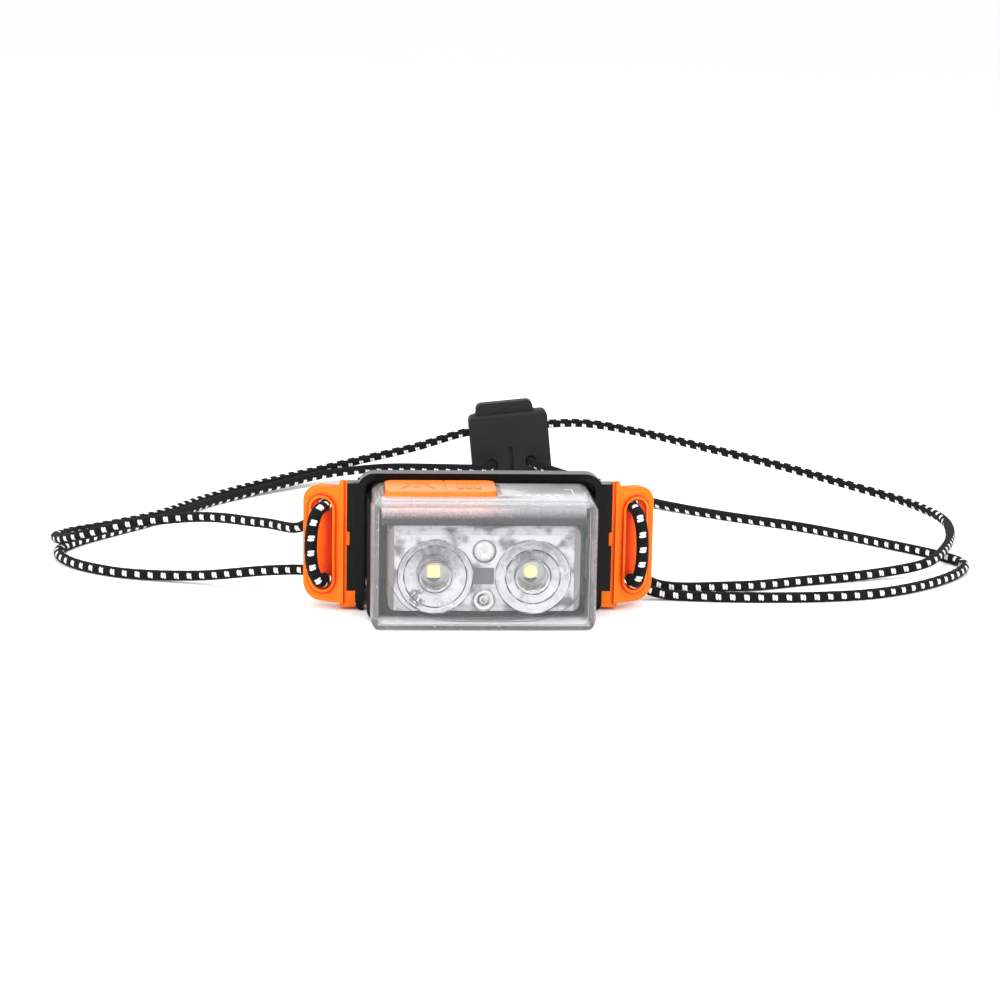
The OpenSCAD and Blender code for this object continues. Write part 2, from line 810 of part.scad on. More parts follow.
module rear_housing() {
    color(black_plastic)
        difference() {
            union() {
                difference() {
                    intersection() {
                        upright(seam_y + seal_t, housing_back)
                            translate([0, housing_h])
                                round_rect(housing_w, 2 * housing_h, housing_corner_r);
                        translate([0, hinge_y, hinge_z])
                            rotate([90, 0, 90])
                                linear_extrude(housing_w + 2, center = true)
                                    housing_side();
                    }
                    upright(seam_y, housing_back - housing_wall)
                        translate([0, housing_wall + housing_h])
                            round_rect(housing_w - 2 * housing_wall, 2 * housing_h, housing_corner_r - 1);
                }
                housing_bosses();
            }
            rod_x(hinge_y, hinge_z, pin_d, -housing_x - 1, -pin_in_x + eps);
            rod_x(hinge_y, hinge_z, pin_d, pin_in_x - eps, housing_x + 1);
            port_opening();
            cover_recess();
            for (y = groove_y)
                block([-housing_x - 1, y, housing_corner_r], [-housing_x + groove_d, y + groove_w, shell_h]);
        }
}

// Side view of the housing about the hinge axis, round at the lower back
module housing_side() {
    r = housing_back - hinge_y;
    translate([seam_y - hinge_y, r - hinge_z])
        square([housing_back - seam_y, housing_h - r]);
    translate([seam_y - hinge_y, -hinge_z])
        square([housing_back - seam_y - r, housing_h]);
    translate([0, r - hinge_z])
        circle(r);
}

// Rounded box of the clear shell from the front to y1
module shell_form(inset, y1) {
    w = shell_w - 2 * inset;
    h = shell_h - 2 * inset;
    r = shell_corner_r - inset;
    e = max(shell_edge_r - inset, 0.2);
    intersection() {
        translate([0, 0, inset + h / 2])
            upright(front_y + inset, y1)
                round_rect(w, h, r);
        translate([0, 0, -1])
            linear_extrude(shell_h + 2)
                translate([0, (front_y + inset + y1 + 2 * e) / 2])
                    round_rect(w, y1 + 2 * e - front_y - inset, e);
        translate([-shell_w, 0, inset + h / 2])
            rotate([90, 0, 90])
                linear_extrude(2 * shell_w)
                    translate([(front_y + inset + y1 + 2 * e) / 2, 0])
                        round_rect(y1 + 2 * e - front_y - inset, h, e);
    }
}

// Outline of the pair of keys, wider all round by grow
module keys_outline(grow) {
    translate([keys_left_x + keys_w / 2, key_front_y + key_d / 2])
        round_rect(keys_w + 2 * grow, key_d + 2 * grow, key_corner_r + grow);
}

module key_openings() {
    translate([0, 0, shell_roof_z - 1])
        linear_extrude(shell_wall + 2)
            keys_outline(key_wall_gap);
    translate([0, 0, shell_h - key_recess])
        linear_extrude(shell_wall)
            keys_outline(key_recess_w);
}

module gauge_holes() {
    for (i = [0 : gauge_n - 1])
        translate([gauge_x + i * gauge_pitch, gauge_y, shell_roof_z + shell_wall / 2])
            cube([mark_w + 2 * slip, mark_d + 2 * slip, shell_wall + 1], center = true);
}

module front_shell() {
    color(smoke_clear)
        difference() {
            shell_form(0, housing_back);
            shell_form(shell_wall, housing_back + 1);
            block([-shell_w, seam_y, -1], [shell_w, housing_back + 1, shell_roof_z]);
            key_openings();
            gauge_holes();
        }
}

// Seal that follows the edge of the housing: up both sides, along the floor and under the roof
module housing_seal() {
    in_x = housing_x - housing_wall;
    color([0.08, 0.08, 0.08])
        difference() {
            intersection() {
                shell_form(0, housing_back);
                union() {
                    block([-shell_x, seam_y, 0], [shell_x, seam_y + seal_t, shell_roof_z]);
                    block([-shell_x, seam_y, housing_h], [shell_x, housing_back, shell_roof_z]);
                }
            }
            upright(seam_y - 1, seam_y + seal_t + eps)
                translate([0, housing_wall + shell_h])
                    round_rect(2 * in_x, 2 * shell_h, housing_corner_r - 1);
            block([-in_x, seam_y - 1, housing_h - 1], [in_x, housing_back - housing_wall, shell_h]);
        }
}

// Optics

module lens_bores(d, small_d) {
    for (x = [-lens_x, lens_x])
        rod_y(x, lens_z, d, tray_y - 1, tray_back_y + 1);
    for (z = [upper_lens_z, lower_lens_z])
        rod_y(0, z, small_d, tray_y - 1, tray_back_y + 1);
}

module reflector_tray() {
    color([0.86, 0.87, 0.88])
        difference() {
            union() {
                difference() {
                    translate([0, 0, tray_z + tray_h / 2])
                        upright(tray_y, tray_back_y)
                            round_rect(tray_w, tray_h, tray_corner_r);
                    translate([0, 0, tray_z + tray_h / 2])
                        upright(tray_y - 1, tray_floor_y)
                            round_rect(tray_w - 2 * tray_wall, tray_h - 2 * tray_wall, tray_corner_r - 0.6);
                }
                for (x = [-screw_x, screw_x], z = [-screw_z, screw_z])
                    rod_y(x, tray_z + tray_h / 2 + z, spacer_d, tray_back_y - screw_bite - 1, tray_back_y);
                block([-sensor_w / 2, lens_front_y + sensor_t, sensor_z - sensor_h / 2],
                    [sensor_w / 2, tray_back_y, sensor_z + sensor_h / 2]);
            }
            lens_bores(led_hole_d, small_led_hole_d);
            for (x = [-lens_x, lens_x])
                rod_y(x, lens_z, lens_d + 2 * slip, tray_y - 1, tray_floor_y);
            for (z = [upper_lens_z, lower_lens_z])
                rod_y(0, z, small_lens_d + 2 * slip, tray_y - 1, tray_floor_y);
            rod_y(0, sensor_z, sensor_duct_d, tray_y - 1, tray_back_y + 1);
            for (x = [-screw_x, screw_x], z = [-screw_z, screw_z])
                rod_y(x, tray_z + tray_h / 2 + z, screw_d, tray_back_y - screw_bite, tray_back_y + 1);
        }
}

// Lens along Y with its face at lens_front_y: a cone with a bore at the back for the chip
module cone_lens(x, z, front_d, rear_d, bore_d, bore_l, rim) {
    translate([x, tray_floor_y, z])
        rotate([90, 0, 0])
            rotate_extrude()
                polygon([
                    [0, bore_l], [bore_d / 2, bore_l - 1], [bore_d / 2, 0], [rear_d / 2, 0],
                    [front_d / 2, lens_l - rim], [front_d / 2, lens_l], [0, lens_l]
                ]);
}

module spot_lens() {
    color([0.93, 0.95, 0.97, 0.6])
        cone_lens(-lens_x, lens_z, lens_d, lens_rear_d, lens_bore_d, lens_l / 2, lens_rim_t);
}

module flood_lens() {
    color([0.93, 0.95, 0.97, 0.6])
        cone_lens(lens_x, lens_z, lens_d, lens_rear_d, lens_bore_d, lens_l * 0.7, lens_rim_t);
}

module upper_lens() {
    color([0.97, 0.97, 0.96, 0.8])
        cone_lens(0, upper_lens_z, small_lens_d, small_lens_rear_d, small_led_hole_d, 2, 0.8);
}

module lower_lens() {
    color([0.93, 0.95, 0.97, 0.6])
        cone_lens(0, lower_lens_z, small_lens_d, small_lens_rear_d, small_led_hole_d, 2, 0.8);
}

module sensor_window() {
    color([0.15, 0.13, 0.12])
        block([-sensor_w / 2, lens_front_y, sensor_z - sensor_h / 2],
            [sensor_w / 2, lens_front_y + sensor_t, sensor_z + sensor_h / 2]);
}

// Chip on the front of the board at x, z
module chip(x, z, side, h) {
    block([x - side / 2, led_board_y - h, z - side / 2], [x + side / 2, led_board_y, z + side / 2]);
}

module spot_led() {
    color([0.95, 0.85, 0.3])
        chip(-lens_x, lens_z, led_side, led_h);
}

module flood_led() {
    color([0.95, 0.85, 0.3])
        chip(lens_x, lens_z, led_side, led_h);
}

module small_leds() {
    color([0.95, 0.9, 0.8])
        for (z = [upper_lens_z, lower_lens_z])
            chip(0, z, small_led_side, small_led_h);
}

module light_sensor() {
    color([0.1, 0.1, 0.12])
        chip(0, sensor_z, sensor_duct_d / 2, small_led_h);
}

// Electronics

// Upright board between y0 and y0 + board_t, with the four screw holes
module upright_board(y0, x0, x1) {
    difference() {
        block([x0, y0, tray_z + board_margin], [x1, y0 + board_t, tray_top_z - board_margin]);
        for (x = [-screw_x, screw_x], z = [-screw_z, screw_z])
            rod_y(x, tray_z + tray_h / 2 + z, screw_d + 2 * slip, y0 - 1, y0 + board_t + 1);
    }
}

module led_board() {
    color([0.9, 0.9, 0.88])
        upright_board(led_board_y, -tray_w / 2 + board_margin, tray_w / 2 - board_margin);
}

module main_board() {
    color(board_green)
        upright_board(main_board_y, -tray_w / 2 + board_margin, socket_x - board_margin);
}

module board_spacers() {
    color(steel)
        for (x = [-screw_x, screw_x], z = [-screw_z, screw_z])
            difference() {
                rod_y(x, tray_z + tray_h / 2 + z, spacer_d, led_board_y + board_t, main_board_y);
                rod_y(x, tray_z + tray_h / 2 + z, screw_d + 2 * slip, led_board_y, main_board_back);
            }
}

module board_screws() {
    color(steel)
        for (x = [-screw_x, screw_x], z = [-screw_z, screw_z]) {
            rod_y(x, tray_z + tray_h / 2 + z, screw_d, tray_back_y - screw_bite, main_board_back + eps);
            rod_y(x, tray_z + tray_h / 2 + z, screw_head_d, main_board_back, main_board_back + screw_head_t);
        }
}

module battery_cell() {
    color([0.7, 0.72, 0.75])
        translate([battery_x + battery_w / 2, 0, battery_z + battery_h / 2])
            upright(battery_y, battery_y + battery_t)
                round_rect(battery_w, battery_h, battery_r);
}

// Foam strips between the main board and the battery, inside the screws
module battery_tape() {
    tape_w = battery_w - 2 * tape_margin_x;
    tape_h = battery_h - 2 * tape_margin_z;
    color([0.2, 0.2, 0.2])
        translate([0, main_board_back, battery_z + (battery_h - tape_h) / 2])
            translate([battery_x + (battery_w - tape_w) / 2, 0, 0])
                cube([tape_w, tape_t, tape_h]);
}

module usb_socket() {
    color(steel)
        translate([0, port_y, port_z])
            difference() {
                translate([socket_x - socket_l, 0, 0])
                    rotate([90, 0, 90])
                        linear_extrude(socket_l)
                            round_rect(socket_w, socket_h, socket_w / 2 - eps);
                translate([socket_x - socket_l + 1, 0, 0])
                    rotate([90, 0, 90])
                        linear_extrude(socket_l)
                            round_rect(port_w, port_l, port_w / 2 - eps);
            }
}

module key_board() {
    color([0.1, 0.1, 0.11])
        block([-tray_w / 2, key_front_y - 1.4, key_board_z],
            [tray_w / 2, housing_back - housing_wall - 1, key_board_top]);
}

module tact_switches() {
    body_top = switch_top_z - 0.3;
    color([0.3, 0.3, 0.32])
        for (x = [(keys_left_x + left_key_end) / 2, (right_key_start + keys_right_x) / 2])
            translate([x, key_front_y + key_d / 2, 0]) {
                block([-switch_side / 2, -switch_side / 2, key_board_top],
                    [switch_side / 2, switch_side / 2, body_top]);
                translate([0, 0, body_top - eps])
                    cylinder(d = plunger_d, h = switch_top_z - body_top + eps);
            }
}

// Bar under the roof with a square pin through it for each step of the charge gauge
module gauge_light_pipe() {
    color([0.95, 0.95, 0.95])
        union() {
            block([gauge_x - 1.2, gauge_y - 1.2, shell_roof_z - gauge_bar_h],
                [gauge_x + (gauge_n - 1) * gauge_pitch + 1.2, gauge_y + 1.2, shell_roof_z]);
            for (i = [0 : gauge_n - 1])
                translate([gauge_x + i * gauge_pitch, gauge_y, shell_roof_z - eps])
                    block([-mark_w / 2, -mark_d / 2, 0], [mark_w / 2, mark_d / 2, shell_wall + 2 * eps]);
        }
}

module gauge_leds() {
    color([0.9, 0.95, 0.9])
        for (i = [0 : gauge_n - 1])
            translate([gauge_x + i * gauge_pitch, gauge_y, 0])
                block([-mark_w / 2, -mark_d / 2, key_board_top],
                    [mark_w / 2, mark_d / 2, key_board_top + gauge_led_h]);
}

// Moving pieces

// Key that spans x0 to x1 of the pair, with its flange out to f0 and f1 under the roof
module key(x0, x1, f0, f1) {
    translate([0, 0, key_flange_z + key_flange_t - eps])
        linear_extrude(key_top_z - key_flange_z - key_flange_t + eps)
            intersection() {
                keys_outline(0);
                translate([x0, key_front_y - 1])
                    square([x1 - x0, key_d + 2]);
            }
    block([f0, key_front_y - key_flange, key_flange_z],
        [f1, key_front_y + key_d + key_flange, key_flange_z + key_flange_t]);
    translate([(x0 + x1) / 2, key_front_y + key_d / 2, key_flange_z - key_stem_l])
        cylinder(d = key_stem_d, h = key_stem_l + eps);
}

module left_key() {
    color(orange)
        key(keys_left_x, left_key_end, keys_left_x - key_flange, left_key_end);
}

module right_key() {
    color(orange)
        key(right_key_start, keys_right_x, right_key_start, keys_right_x + key_flange);
}

module tilt_pins() {
    color(steel)
        both_sides()
            rod_x(hinge_y, hinge_z, pin_d, pin_in_x, pin_in_x + pin_l);
}

module friction_washers() {
    color(steel)
        both_sides()
            difference() {
                rod_x(hinge_y, hinge_z, washer_d, housing_x + slip, housing_x + slip + washer_t);
                rod_x(hinge_y, hinge_z, pin_d + 2 * hinge_slip, housing_x - 1, leg_in_x + 1);
            }
}

// Cover of the charging port, hinged at its front edge
module port_cover() {
    color([0.14, 0.14, 0.15])
        union() {
            block([housing_x - cover_sink, cover_front_y, port_z - cover_h / 2],
                [housing_x - cover_sink + cover_t, cover_front_y + cover_w, port_z + cover_h / 2]);
            block([housing_x - cover_sink - plug_reach, port_y - port_w / 2, port_z - port_l / 2],
                [housing_x - cover_sink + eps, port_y + port_w / 2, port_z + port_l / 2]);
        }
}

bracket();
frame();
forehead_pad();
rear_plate();
cord_knots();
left_lower_cord();
left_ear_cord();
left_upper_cord();
right_upper_cord();
right_ear_cord();
right_lower_cord();
rear_housing();
front_shell();
housing_seal();
reflector_tray();
spot_lens();
flood_lens();
upper_lens();
lower_lens();
sensor_window();
led_board();
spot_led();
flood_led();
small_leds();
light_sensor();
board_spacers();
board_screws();
main_board();
battery_cell();
battery_tape();
usb_socket();
key_board();
tact_switches();
gauge_light_pipe();
gauge_leds();
left_key();
right_key();
tilt_pins();
friction_washers();
port_cover();
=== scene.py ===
"""Looks of a compact headlamp on an elastic cord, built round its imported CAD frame."""

import json
import math

import bmesh
import bpy
import numpy as np
from mathutils import Matrix, Vector


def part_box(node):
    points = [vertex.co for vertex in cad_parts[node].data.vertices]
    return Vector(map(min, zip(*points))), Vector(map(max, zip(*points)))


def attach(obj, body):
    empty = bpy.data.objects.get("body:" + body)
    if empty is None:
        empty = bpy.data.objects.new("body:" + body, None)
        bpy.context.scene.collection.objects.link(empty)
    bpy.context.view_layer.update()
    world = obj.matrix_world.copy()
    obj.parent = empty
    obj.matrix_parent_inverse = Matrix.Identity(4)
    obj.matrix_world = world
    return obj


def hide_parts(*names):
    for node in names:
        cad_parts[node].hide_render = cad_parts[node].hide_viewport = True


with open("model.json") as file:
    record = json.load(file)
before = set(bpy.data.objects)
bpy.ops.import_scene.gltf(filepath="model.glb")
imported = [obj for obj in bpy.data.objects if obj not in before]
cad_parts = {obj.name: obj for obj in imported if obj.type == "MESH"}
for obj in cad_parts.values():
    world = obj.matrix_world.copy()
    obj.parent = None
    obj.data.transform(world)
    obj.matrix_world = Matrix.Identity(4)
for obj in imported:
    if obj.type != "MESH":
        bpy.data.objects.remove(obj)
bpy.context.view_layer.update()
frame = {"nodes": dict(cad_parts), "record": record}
nodes = frame["nodes"]
scene = bpy.context.scene
scene.view_settings.view_transform = "Standard"

MM = 0.001


# Camera

CAM_PLACE = Vector((-33.6, -556.4, 140.2)) * MM
CAM_AZIMUTH = math.radians(-3.867)
CAM_ELEVATION = math.radians(11.555)
CAM_ROLL = math.radians(0.997)
CAM_LENS = 93.69
CAM_SENSOR = 36.0


def make_camera():
    look = Vector((
        -math.sin(CAM_AZIMUTH) * math.cos(CAM_ELEVATION),
        math.cos(CAM_AZIMUTH) * math.cos(CAM_ELEVATION),
        -math.sin(CAM_ELEVATION),
    ))
    level = Vector((math.cos(CAM_AZIMUTH), math.sin(CAM_AZIMUTH), 0))
    upright = level.cross(look)
    right = math.cos(CAM_ROLL) * level + math.sin(CAM_ROLL) * upright
    up = math.cos(CAM_ROLL) * upright - math.sin(CAM_ROLL) * level
    data = bpy.data.cameras.new("camera")
    data.lens = CAM_LENS
    data.sensor_width = CAM_SENSOR
    data.clip_start = 0.01
    data.clip_end = 100
    cam = bpy.data.objects.new("camera", data)
    turn = Matrix((right, up, -look)).transposed().to_4x4()
    cam.matrix_world = Matrix.Translation(CAM_PLACE) @ turn
    scene.collection.objects.link(cam)
    scene.camera = cam


# Mesh helpers


def mesh_from(name, points, faces):
    """Closed mesh with its faces turned outwards."""
    mesh = bpy.data.meshes.new(name)
    mesh.from_pydata([tuple(p) for p in points], [], faces)
    work = bmesh.new()
    work.from_mesh(mesh)
    bmesh.ops.recalc_face_normals(work, faces=work.faces)
    work.to_mesh(mesh)
    work.free()
    mesh.update()
    return mesh


def add_object(name, mesh, material=None, sharp=180):
    """Object with smooth faces, apart from edges that turn by more than sharp degrees."""
    obj = bpy.data.objects.new(name, mesh)
    scene.collection.objects.link(obj)
    if material:
        mesh.materials.append(material)
    mesh.shade_smooth()
    if sharp < 180:
        mesh.set_sharp_from_angle(angle=math.radians(sharp))
    return obj


def as_piece(obj, body, slot, *nodes_replaced):
    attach(obj, body)
    if nodes_replaced:
        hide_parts(*nodes_replaced)
    return obj


def clean_copy(node):
    """Copy of a CAD node's mesh with its flat faces whole again, so that its edges can be rounded."""
    mesh = nodes[node].data.copy()
    mesh.materials.clear()
    work = bmesh.new()
    work.from_mesh(mesh)
    bmesh.ops.remove_doubles(work, verts=work.verts, dist=0.002 * MM)
    bmesh.ops.dissolve_limit(
        work, angle_limit=math.radians(0.5), verts=work.verts, edges=work.edges
    )
    work.to_mesh(mesh)
    work.free()
    mesh.name = node + "_form"
    return mesh


def round_edges(obj, width, segments=2, angle=40):
    bevel = obj.modifiers.new("edges", "BEVEL")
    bevel.width = width * MM
    bevel.segments = segments
    bevel.limit_method = "ANGLE"
    bevel.angle_limit = math.radians(angle)
    bevel.harden_normals = True
    bevel.use_clamp_overlap = True


def rounded_piece(node, body, width, segments=2, angle=40, material=None):
    """Piece that stands for a CAD node, with its sharp edges rounded by width in mm."""
    slot = SLOT_OF[node]
    obj = add_object(node + "_piece", clean_copy(node), material or MAT[slot], sharp=angle)
    round_edges(obj, width, segments, angle)
    return as_piece(obj, body, slot, node)


def turned(name, profile, centre, material, sides=96, sharp=40):
    """Piece turned round an axis along +Y from centre; profile gives radius and depth, in mm."""
    points, faces, rows = [], [], []
    for radius, depth in profile:
        count = 1 if radius == 0 else sides
        rows.append(range(len(points), len(points) + count))
        for k in range(count):
            a = 2 * math.pi * k / sides
            x, z = radius * math.cos(a), radius * math.sin(a)
            points.append((Vector(centre) + Vector((x, depth, z))) * MM)
    for near, far in zip(rows, rows[1:]):
        for k in range(sides):
            j = (k + 1) % sides
            ring = [near[k % len(near)], near[j % len(near)], far[j % len(far)], far[k % len(far)]]
            faces.append(tuple(dict.fromkeys(ring)))
    return add_object(name, mesh_from(name, points, faces), material, sharp)


def bowed(start, end, bulge, steps=8):
    """Points from start to end on a bowed line; the middle is off by bulge, to the left of the way."""
    a, b = Vector(start), Vector(end)
    side = Vector((-(b - a).y, (b - a).x)).normalized()
    fractions = [k / steps for k in range(steps + 1)]
    return [tuple(a.lerp(b, f) + side * bulge * 4 * f * (1 - f)) for f in fractions]


def stroke(start, end, width):
    """Outline of a straight stroke in a plane."""
    a, b = Vector(start), Vector(end)
    side = Vector((-(b - a).y, (b - a).x)).normalized() * width / 2
    return [a + side, a - side, b - side, b + side]


def raised(name, outlines, level, height, material, edge=0.03):
    """Flat marks that stand on a level face, from outlines in X and Y, in mm."""
    points, faces = [], []
    for outline in outlines:
        first, count = len(points), len(outline)
        for z in (level, level + height):
            points += [Vector((x, y, z)) * MM for x, y in outline]
        faces.append(tuple(range(first, first + count)))
        faces.append(tuple(range(first + count, first + 2 * count)))
        for k in range(count):
            j = (k + 1) % count
            faces.append((first + k, first + j, first + count + j, first + count + k))
    obj = add_object(name, mesh_from(name, points, faces), material, sharp=40)
    round_edges(obj, edge)
    return obj


def box_outline(x, y, width, depth):
    """Outline of a rectangle round a middle point."""
    return [
        (x - width / 2, y - depth / 2), (x + width / 2, y - depth / 2),
        (x + width / 2, y + depth / 2), (x - width / 2, y + depth / 2),
    ]


# Material helpers


def put(tree, socket, value):
    """Link another node's socket, or set a plain value."""
    if isinstance(value, bpy.types.NodeSocket):
        tree.links.new(value, socket)
    else:
        socket.default_value = value


def map_range(tree, value, low, high, at_low, at_high):
    """low where value is at_low, high where it is at_high."""
    made = tree.nodes.new("ShaderNodeMapRange")
    for socket, entry in zip(made.inputs, (value, at_low, at_high, low, high)):
        put(tree, socket, entry)
    return made.outputs[0]


class Graph:
    """Short names for building a material's nodes."""

    def __init__(self, name):
        self.material = bpy.data.materials.new(name)
        self.material.use_nodes = True
        self.tree = self.material.node_tree
        self.shader = self.tree.nodes["Principled BSDF"]

    def node(self, kind, **inputs):
        made = self.tree.nodes.new(kind)
        for key, value in inputs.items():
            self.put(made.inputs[key.replace("_", " ")], value)
        return made

    def put(self, socket, value):
        put(self.tree, socket, value)

    def math(self, operation, *values):
        made = self.tree.nodes.new("ShaderNodeMath")
        made.operation = operation
        for socket, value in zip(made.inputs, values):
            self.put(socket, value)
        return made.outputs[0]

    def place(self):
        return self.node("ShaderNodeTexCoord").outputs["Object"]

    def noise(self, scale, detail=3.0, rough=0.5):
        made = self.node("ShaderNodeTexNoise", Vector=self.place(), Scale=scale, Detail=detail)
        made.inputs["Roughness"].default_value = rough
        return made.outputs["Fac"]

    def ramp(self, value, low, high, at_low=0.0, at_high=1.0):
        return map_range(self.tree, value, low, high, at_low, at_high)

    def mix(self, factor, first, second):
        made = self.tree.nodes.new("ShaderNodeMix")
        made.data_type = "RGBA"
        self.put(made.inputs[0], factor)
        self.put(made.inputs[6], first)
        self.put(made.inputs[7], second)
        return made.outputs[2]

    def bump(self, height, strength, distance):
        made = self.node("ShaderNodeBump", Height=height, Strength=strength, Distance=distance)
        self.put(self.shader.inputs["Normal"], made.outputs[0])

    def set(self, **inputs):
        for key, value in inputs.items():
            self.put(self.shader.inputs[key.replace("_", " ")], value)


def rgba(r, g, b):
    return (r, g, b, 1.0)


# Materials


def moulded(name, dark, light, rough, grain=0.4, specular=0.5, grain_scale=9000.0, bump=0.25):
    """Moulded plastic: fine spark grain, a slow drift of tone and of gloss."""
    g = Graph(name)
    drift = g.noise(60.0, 2.0)
    fine = g.noise(grain_scale, 2.0)
    g.set(Base_Color=g.mix(g.ramp(drift, 0.0, 1.0, 0.3, 0.7), rgba(*dark), rgba(*light)))
    g.set(Roughness=g.ramp(fine, rough - 0.06, rough + 0.06, 0.3, 0.7))
    g.set(IOR=1.5)
    g.set(Specular_IOR_Level=specular)
    g.bump(fine, bump, grain * 0.02 * MM)
    return g.material


def orange_painted_hollow_shade(name, hollow_shade, dark, light, rough, reach):
    """Bright moulded plastic with painted shade: its hollows are painted a deeper, redder tone where
    their own walls close round them.
    """
    g = Graph(name)
    drift = g.noise(60.0, 2.0)
    fine = g.noise(9000.0, 2.0)
    open_tone = g.mix(g.ramp(drift, 0.0, 1.0, 0.3, 0.7), rgba(*dark), rgba(*light))
    # Painted shade: an occlusion reading darkens the colour in hollows and creases.
    around = g.node("ShaderNodeAmbientOcclusion", Distance=reach)
    around.samples = 8
    around.only_local = True
    unshaded_share = g.ramp(around.outputs["AO"], 0.0, 1.0, 0.91, 1.0)
    g.set(Base_Color=g.mix(unshaded_share, rgba(*hollow_shade), open_tone))
    g.set(Roughness=g.ramp(fine, rough - 0.06, rough + 0.06, 0.3, 0.7))
    g.set(IOR=1.5)
    g.set(Specular_IOR_Level=0.18)
    g.bump(fine, 0.25, 0.008 * MM)
    return g.material


def let_light_in(g, tint):
    """Light on its way to what is inside passes straight through."""
    passing = g.node("ShaderNodeBsdfTransparent", Color=rgba(*tint))
    path = g.node("ShaderNodeLightPath")
    indirect = g.math("MAXIMUM", path.outputs["Is Shadow Ray"], path.outputs["Is Diffuse Ray"])
    joined = g.tree.nodes.new("ShaderNodeMixShader")
    g.put(joined.inputs[0], indirect)
    g.put(joined.inputs[1], g.shader.outputs[0])
    g.put(joined.inputs[2], passing.outputs[0])
    g.put(g.tree.nodes["Material Output"].inputs["Surface"], joined.outputs[0])


def clear_plastic(name, tint, passing):
    """Clear polished plastic with faint flow marks."""
    g = Graph(name)
    flow = g.noise(120.0, 2.0)
    g.set(Base_Color=g.mix(flow, rgba(*[0.985 * c for c in tint]), rgba(*tint)))
    g.set(Roughness=g.ramp(flow, 0.0, 0.015, 0.3, 0.7))
    g.set(Transmission_Weight=1.0)
    g.set(IOR=1.49)
    let_light_in(g, passing)
    return g.material


WINDOW_X = 0.3 * MM
WINDOW_Z = 12.0 * MM
WINDOW_HALF = 20.6 * MM
WINDOW_DROP = 9.6 * MM
WINDOW_TOP = 22.0 * MM
WINDOW_SHARE = 2.5
FROST_DARK = (0.66, 0.66, 0.67)
FROST_LIGHT = (0.90, 0.90, 0.91)
FROST_ROUGH = 0.13
FROST_SCALE = 2800.0
WINDOW_EDGE = (0.98, 1.03)
WINDOW_TOP_LOW = WINDOW_TOP - 0.2 * MM
WINDOW_TOP_HIGH = WINDOW_TOP + 0.4 * MM
# The frosted face grows milkier, and so lighter, towards the shell's foot: a painted highlight along its
# bottom edge.
FOOT_HIGHLIGHT_SHARE = 0.6
FOOT_HIGHLIGHT_LOW = 0.5 * MM
FOOT_HIGHLIGHT_HIGH = 3.5 * MM


def window_plastic(name, tint, passing):
    """Clear plastic in a window with a curved foot; beyond it the face is frosted and grainy, and
    milkier low down as a painted highlight.
    """
    g = Graph(name)
    parts = g.node("ShaderNodeSeparateXYZ", Vector=g.place())
    off = g.math("ABSOLUTE", g.math("SUBTRACT", parts.outputs["X"], WINDOW_X))
    below = g.math("MAXIMUM", g.math("SUBTRACT", WINDOW_Z, parts.outputs["Z"]), 0.0)
    across = g.math("POWER", g.math("DIVIDE", off, WINDOW_HALF), WINDOW_SHARE)
    down = g.math("POWER", g.math("DIVIDE", below, WINDOW_DROP), WINDOW_SHARE)
    beside = g.ramp(g.math("ADD", across, down), 0.0, 1.0, *WINDOW_EDGE)
    above = g.ramp(parts.outputs["Z"], 0.0, 1.0, WINDOW_TOP_LOW, WINDOW_TOP_HIGH)
    frost = g.math("MAXIMUM", beside, above)
    fine = g.noise(FROST_SCALE, 3.0)
    grain = g.mix(g.ramp(fine, 0.0, 1.0, 0.32, 0.68), rgba(*FROST_DARK), rgba(*FROST_LIGHT))
    g.set(Base_Color=g.mix(frost, rgba(*tint), grain))
    g.set(Roughness=g.ramp(frost, 0.004, FROST_ROUGH))
    # Painted highlight: less clear towards the foot, so the bottom edge reads lighter.
    foot = g.ramp(parts.outputs["Z"], FOOT_HIGHLIGHT_SHARE, 0.0, FOOT_HIGHLIGHT_LOW, FOOT_HIGHLIGHT_HIGH)
    milky = g.math("MULTIPLY", frost, foot)
    g.set(Transmission_Weight=g.math("SUBTRACT", 1.0, milky))
    g.set(IOR=1.49)
    g.bump(g.math("MULTIPLY", fine, frost), 0.06, 0.02 * MM)
    let_light_in(g, passing)
    return g.material


def frosted_plastic(name, dark, light, rough, clear, passing, grain):
    """Smoky plastic with a frosted face, part clear and part milky, with a fine sparkle."""
    g = Graph(name)
    fine = g.noise(2600.0, 3.0)
    slow = g.noise(160.0, 2.0)
    tone = g.mix(slow, rgba(*dark), rgba(*light))
    g.set(Base_Color=g.mix(g.ramp(fine, grain, 0.0, 0.32, 0.68), tone, rgba(0.15, 0.15, 0.16)))
    g.set(Roughness=g.ramp(fine, rough - 0.05, rough + 0.08, 0.3, 0.7))
    g.set(Transmission_Weight=clear)
    g.set(IOR=1.49)
    g.bump(fine, 0.05, 0.02 * MM)
    let_light_in(g, passing)
    return g.material


def metal(name, colour, rough, grain_scale=4000.0):
    g = Graph(name)
    fine = g.noise(grain_scale, 3.0)
    g.set(Base_Color=g.mix(fine, rgba(*[0.85 * c for c in colour]), rgba(*colour)))
    g.set(Metallic=1.0)
    g.set(Roughness=g.ramp(fine, rough - 0.05, rough + 0.08, 0.3, 0.7))
    return g.material


def silvered(name, dark, light, scale, dent, metallic):
    """Silvery coat with soft dents and a mottle."""
    g = Graph(name)
    mottle = g.noise(scale, 3.0)
    g.set(Base_Color=g.mix(g.ramp(mottle, 0.0, 1.0, 0.36, 0.52), rgba(*dark), rgba(*light)))
    g.set(Metallic=metallic)
    g.set(Roughness=g.ramp(mottle, 0.3, 0.5, 0.3, 0.7))
    g.bump(mottle, 0.4, dent * MM)
    return g.material


